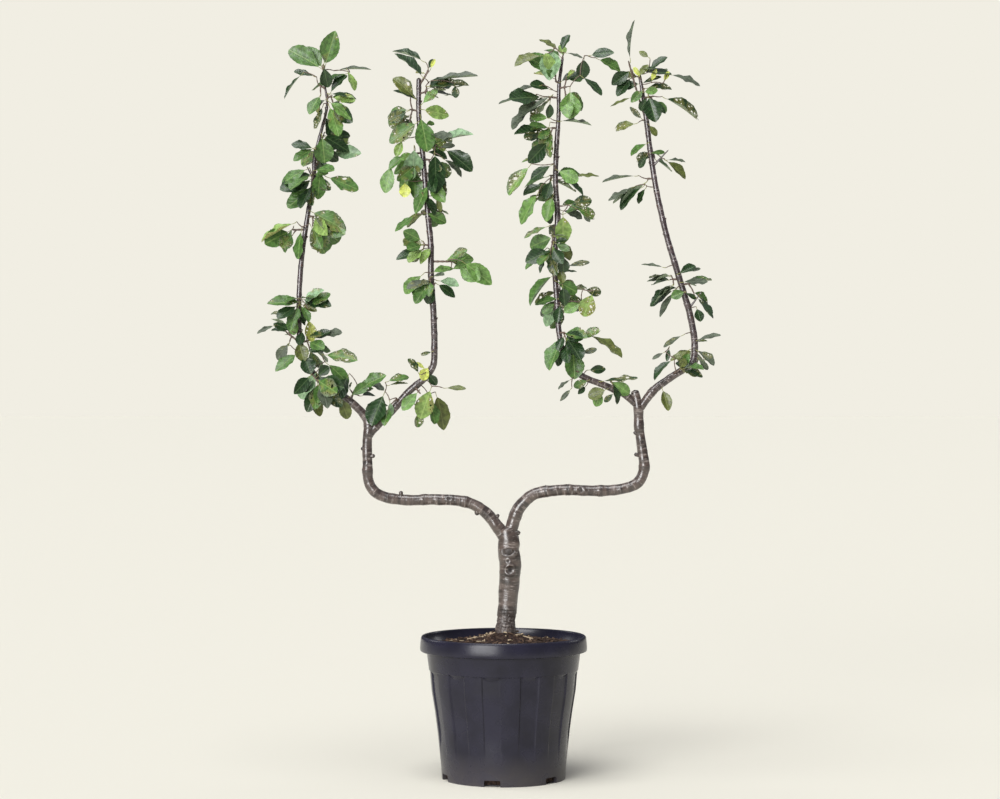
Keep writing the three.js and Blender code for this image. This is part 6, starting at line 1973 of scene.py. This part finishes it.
@dataclass
class Compost:
    """The compost: a crumbly mound from the container's wall up to the trunk, with bark chips on it."""

    segments: int = 150
    edge_radius: float = 137.2
    bottom: float = 3.4
    bottom_radius: float = 108.5
    edge_height: float = 247.6
    mound: tuple[tuple[float, float], ...] = (
        (0, 271), (20, 270), (34, 264), (56, 256.5), (90, 251.5), (137.2, 247.6))
    rings: int = 56
    calm_width: float = 10.0
    clod: float = 2.4
    crumb: float = 0.9
    chips: int = 380
    chip_seed: int = 77
    chip_lengths: tuple[float, float] = (4, 21)
    chip_widths: tuple[float, float] = (2, 7)
    chip_thickness: tuple[float, float] = (0.8, 2.2)
    chip_lift: float = 0.9
    bare_round_trunk: float = 20.0
    pale_within: float = 64.0
    pale_shares: tuple[float, float] = (0.4, 0.08)
    brown_share: float = 0.3

    def height(self, x: float, y: float) -> float:
        """Returns the surface's height at a place."""
        radius = math.hypot(x, y)
        even = float(np.interp(radius, [r for r, _ in self.mound], [z for _, z in self.mound]))
        calm = float(smooth(self.edge_radius - radius, 0.0, self.calm_width))
        clods = noise.noise(Vector((x / 17, y / 17, 3.1))) + 0.7 * noise.noise(Vector((x / 8, y / 8, 9.7)))
        crumbs = noise.noise(Vector((x / 3.2, y / 3.2, 5.3)))
        return even + calm * (clods * self.clod + crumbs * self.crumb)

    def mounded(self) -> Object:
        """Draws a circle up the wall's inside and in to the middle, and lifts the surface to its mound."""
        path = [(self.bottom_radius, self.bottom), (self.edge_radius - 0.6, 232.0), (self.edge_radius, 240.0)]
        path += [(self.edge_radius * (1 - i / self.rings), self.edge_height) for i in range(self.rings)]
        soil = drawn_up(self.segments, path, pointed=True)
        for vertex in soil.data.vertices:
            if vertex.co.z > (self.edge_height - 0.1) * MM:
                vertex.co.z = self.height(vertex.co.x / MM, vertex.co.y / MM) * MM
        return soil

    def chip(self, draw: Draw) -> Shape:
        """Shapes one chip: a torn flat splinter with six uneven sides."""
        long = between(draw, self.chip_lengths)
        wide = clamp(long * between(draw, (0.18, 0.5)), *self.chip_widths)
        thick = between(draw, self.chip_thickness)
        outline = np.array([
            (-0.5, -0.2), (-0.1, -0.5), (0.42, -0.36), (0.5, 0.22), (0.05, 0.5), (-0.4, 0.34)])
        outline = outline + np.array([(draw() - 0.5, draw() - 0.5) for _ in outline]) * 0.2
        flat = outline * (long, wide)
        top = np.column_stack([flat * 0.86, np.full(6, thick / 2) + np.array([draw() for _ in flat]) * 0.4])
        bottom = np.column_stack([flat, np.full(6, -thick / 2)])
        yaw, pitch, roll = draw() * math.tau, (draw() - 0.5) * 0.9, (draw() - 0.5) * 0.9
        tilt = np.array([[1, 0, pitch], [0, 1, roll], [-pitch, -roll, 1]])
        spin = np.array([[math.cos(yaw), -math.sin(yaw), 0], [math.sin(yaw), math.cos(yaw), 0], [0, 0, 1]])
        vertices = np.concatenate([bottom, top]) @ tilt.T @ spin.T
        faces = [[5, 4, 3, 2, 1, 0], [6, 7, 8, 9, 10, 11]]
        faces += [[i, (i + 1) % 6, (i + 1) % 6 + 6, i + 6] for i in range(6)]
        return vertices, faces

    def scatter(self) -> None:
        """Scatters the chips over the surface, more of the pale ones near the trunk, joined by colour."""
        draw = seeded(self.chip_seed)
        piles = [Sheets() for _ in CHIP_FINISHES]
        widest = self.edge_radius - self.bare_round_trunk - 8
        for _ in range(self.chips):
            turn, radius = draw() * math.tau, self.bare_round_trunk + widest * draw() ** 0.8
            x, y = math.cos(turn) * radius, math.sin(turn) * radius
            vertices, faces = self.chip(draw)
            share = draw()
            pale = self.pale_shares[0 if radius < self.pale_within else 1]
            pile = piles[0 if share < pale else 1 if share < pale + self.brown_share else 2]
            pile.add(vertices + np.array([x, y, self.height(x, y) + self.chip_lift]), faces)
        for pile, finish in zip(piles, CHIP_FINISHES):
            piece = pile.made(finish.name)
            bpy.ops.object.shade_flat()
            hand_over(piece, finish.name, finish, "compost", ("soil",))

    def build(self) -> None:
        """Builds the compost and its chips and hands them over."""
        soil = self.mounded()
        choose(soil)
        bpy.ops.object.shade_smooth()
        hand_over(soil, "compost", COMPOST, "compost", ("soil",))
        self.scatter()


@dataclass
class Studio:
    """The pale ground, soft lights and the camera at the height of the plant's middle.

    Each lamp has its name, its direction from the plant in degrees, 0 at the front and towards +X, how high
    it stands and how wide it looks from the plant in degrees, and its light in watts on a square metre.
    """

    image_width: int = 1000
    sensor_mm: float = 36.0
    clip_end: float = 100.0
    ground_size: float = 400.0
    sky_colour: str = "#F1EEE3"
    sky_light: str = "#F5F6FF"
    horizon_strength: float = 0.06
    zenith_strength: float = 0.42
    lamps: tuple[tuple[str, float, float, float, float], ...] = (
        ("top_light", -30, 68, 44, 2.3), ("left_front_light", -28, 9, 36, 3.2),
        ("left_rim_light", -120, 24, 16, 0.2), ("right_rim_light", 122, 20, 14, 0.15))

    def build(self) -> None:
        """Sets up the ground, the lights, the world and the camera."""
        self.ground()
        for lamp in self.lamps:
            self.soft_sun(*lamp)
        self.sky()
        bpy.context.scene.view_settings.view_transform = "Standard"
        self.camera()

    def ground(self) -> None:
        """Lays the pale ground, which runs on to the horizon."""
        deselect()
        bpy.ops.mesh.primitive_plane_add(size=self.ground_size, location=(0, 0, 0))
        ground = bpy.context.object
        ground.name = "ground"
        ground.data.materials.append(PaleGround().material())

    def sky(self) -> None:
        """Makes the sky: the ground's cream behind the plant, and a light on it, the strongest overhead."""
        world = bpy.data.worlds.new("soft_studio")
        bpy.context.scene.world = world
        world.use_nodes = True
        tree = world.node_tree
        tree.nodes.clear()
        seen = add_node(tree, "Background", inputs={"Color": self.sky_colour, "Strength": 1.0})
        way = add_node(tree, "TexCoord", output="Generated")
        height = add_node(tree, "SeparateXYZ", inputs={"Vector": way}, output="Z")
        strength = add_node(tree, "MapRange", inputs={
            "Value": height, "To Min": self.horizon_strength, "To Max": self.zenith_strength})
        lit = add_node(tree, "Background", inputs={"Color": self.sky_light, "Strength": strength})
        straight = add_node(tree, "LightPath", output="Is Camera Ray")
        both = add_node(tree, "MixShader", inputs={0: straight, 1: lit, 2: seen})
        add_node(tree, "OutputWorld", inputs={"Surface": both})

    def soft_sun(self, name: str, azimuth: float, height: float, softness: float, strength: float) -> None:
        """Hangs a large far lamp, given as one of the lamps."""
        deselect()
        turn, lift = math.radians(azimuth), math.radians(height)
        way = Vector((math.sin(turn) * math.cos(lift), -math.cos(turn) * math.cos(lift), math.sin(lift)))
        bpy.ops.object.light_add(type="SUN", location=way * 5)
        lamp = bpy.context.object
        lamp.name = name
        lamp.data.angle = math.radians(softness)
        lamp.data.energy = strength
        lamp.rotation_euler = way.to_track_quat("Z", "Y").to_euler()

    def camera(self) -> None:
        """Sets the camera level, with the photograph's width of view."""
        deselect()
        bpy.ops.object.camera_add(location=tuple(CAMERA_PLACE * MM))
        camera = bpy.context.object
        camera.name = "camera"
        camera.rotation_euler = (math.radians(90), 0, 0)
        camera.data.sensor_width = self.sensor_mm
        camera.data.lens = FOCAL_PIXELS * self.sensor_mm / self.image_width
        camera.data.clip_end = self.clip_end
        bpy.context.scene.camera = camera


def main() -> None:
    """Builds the plant from the ground up."""
    for part in (Studio(), Container(), Compost(), Wood(), Foliage()):
        part.build()
        log.info("%s done", type(part).__name__)
    deselect()


if __name__ == "__main__":
    main()
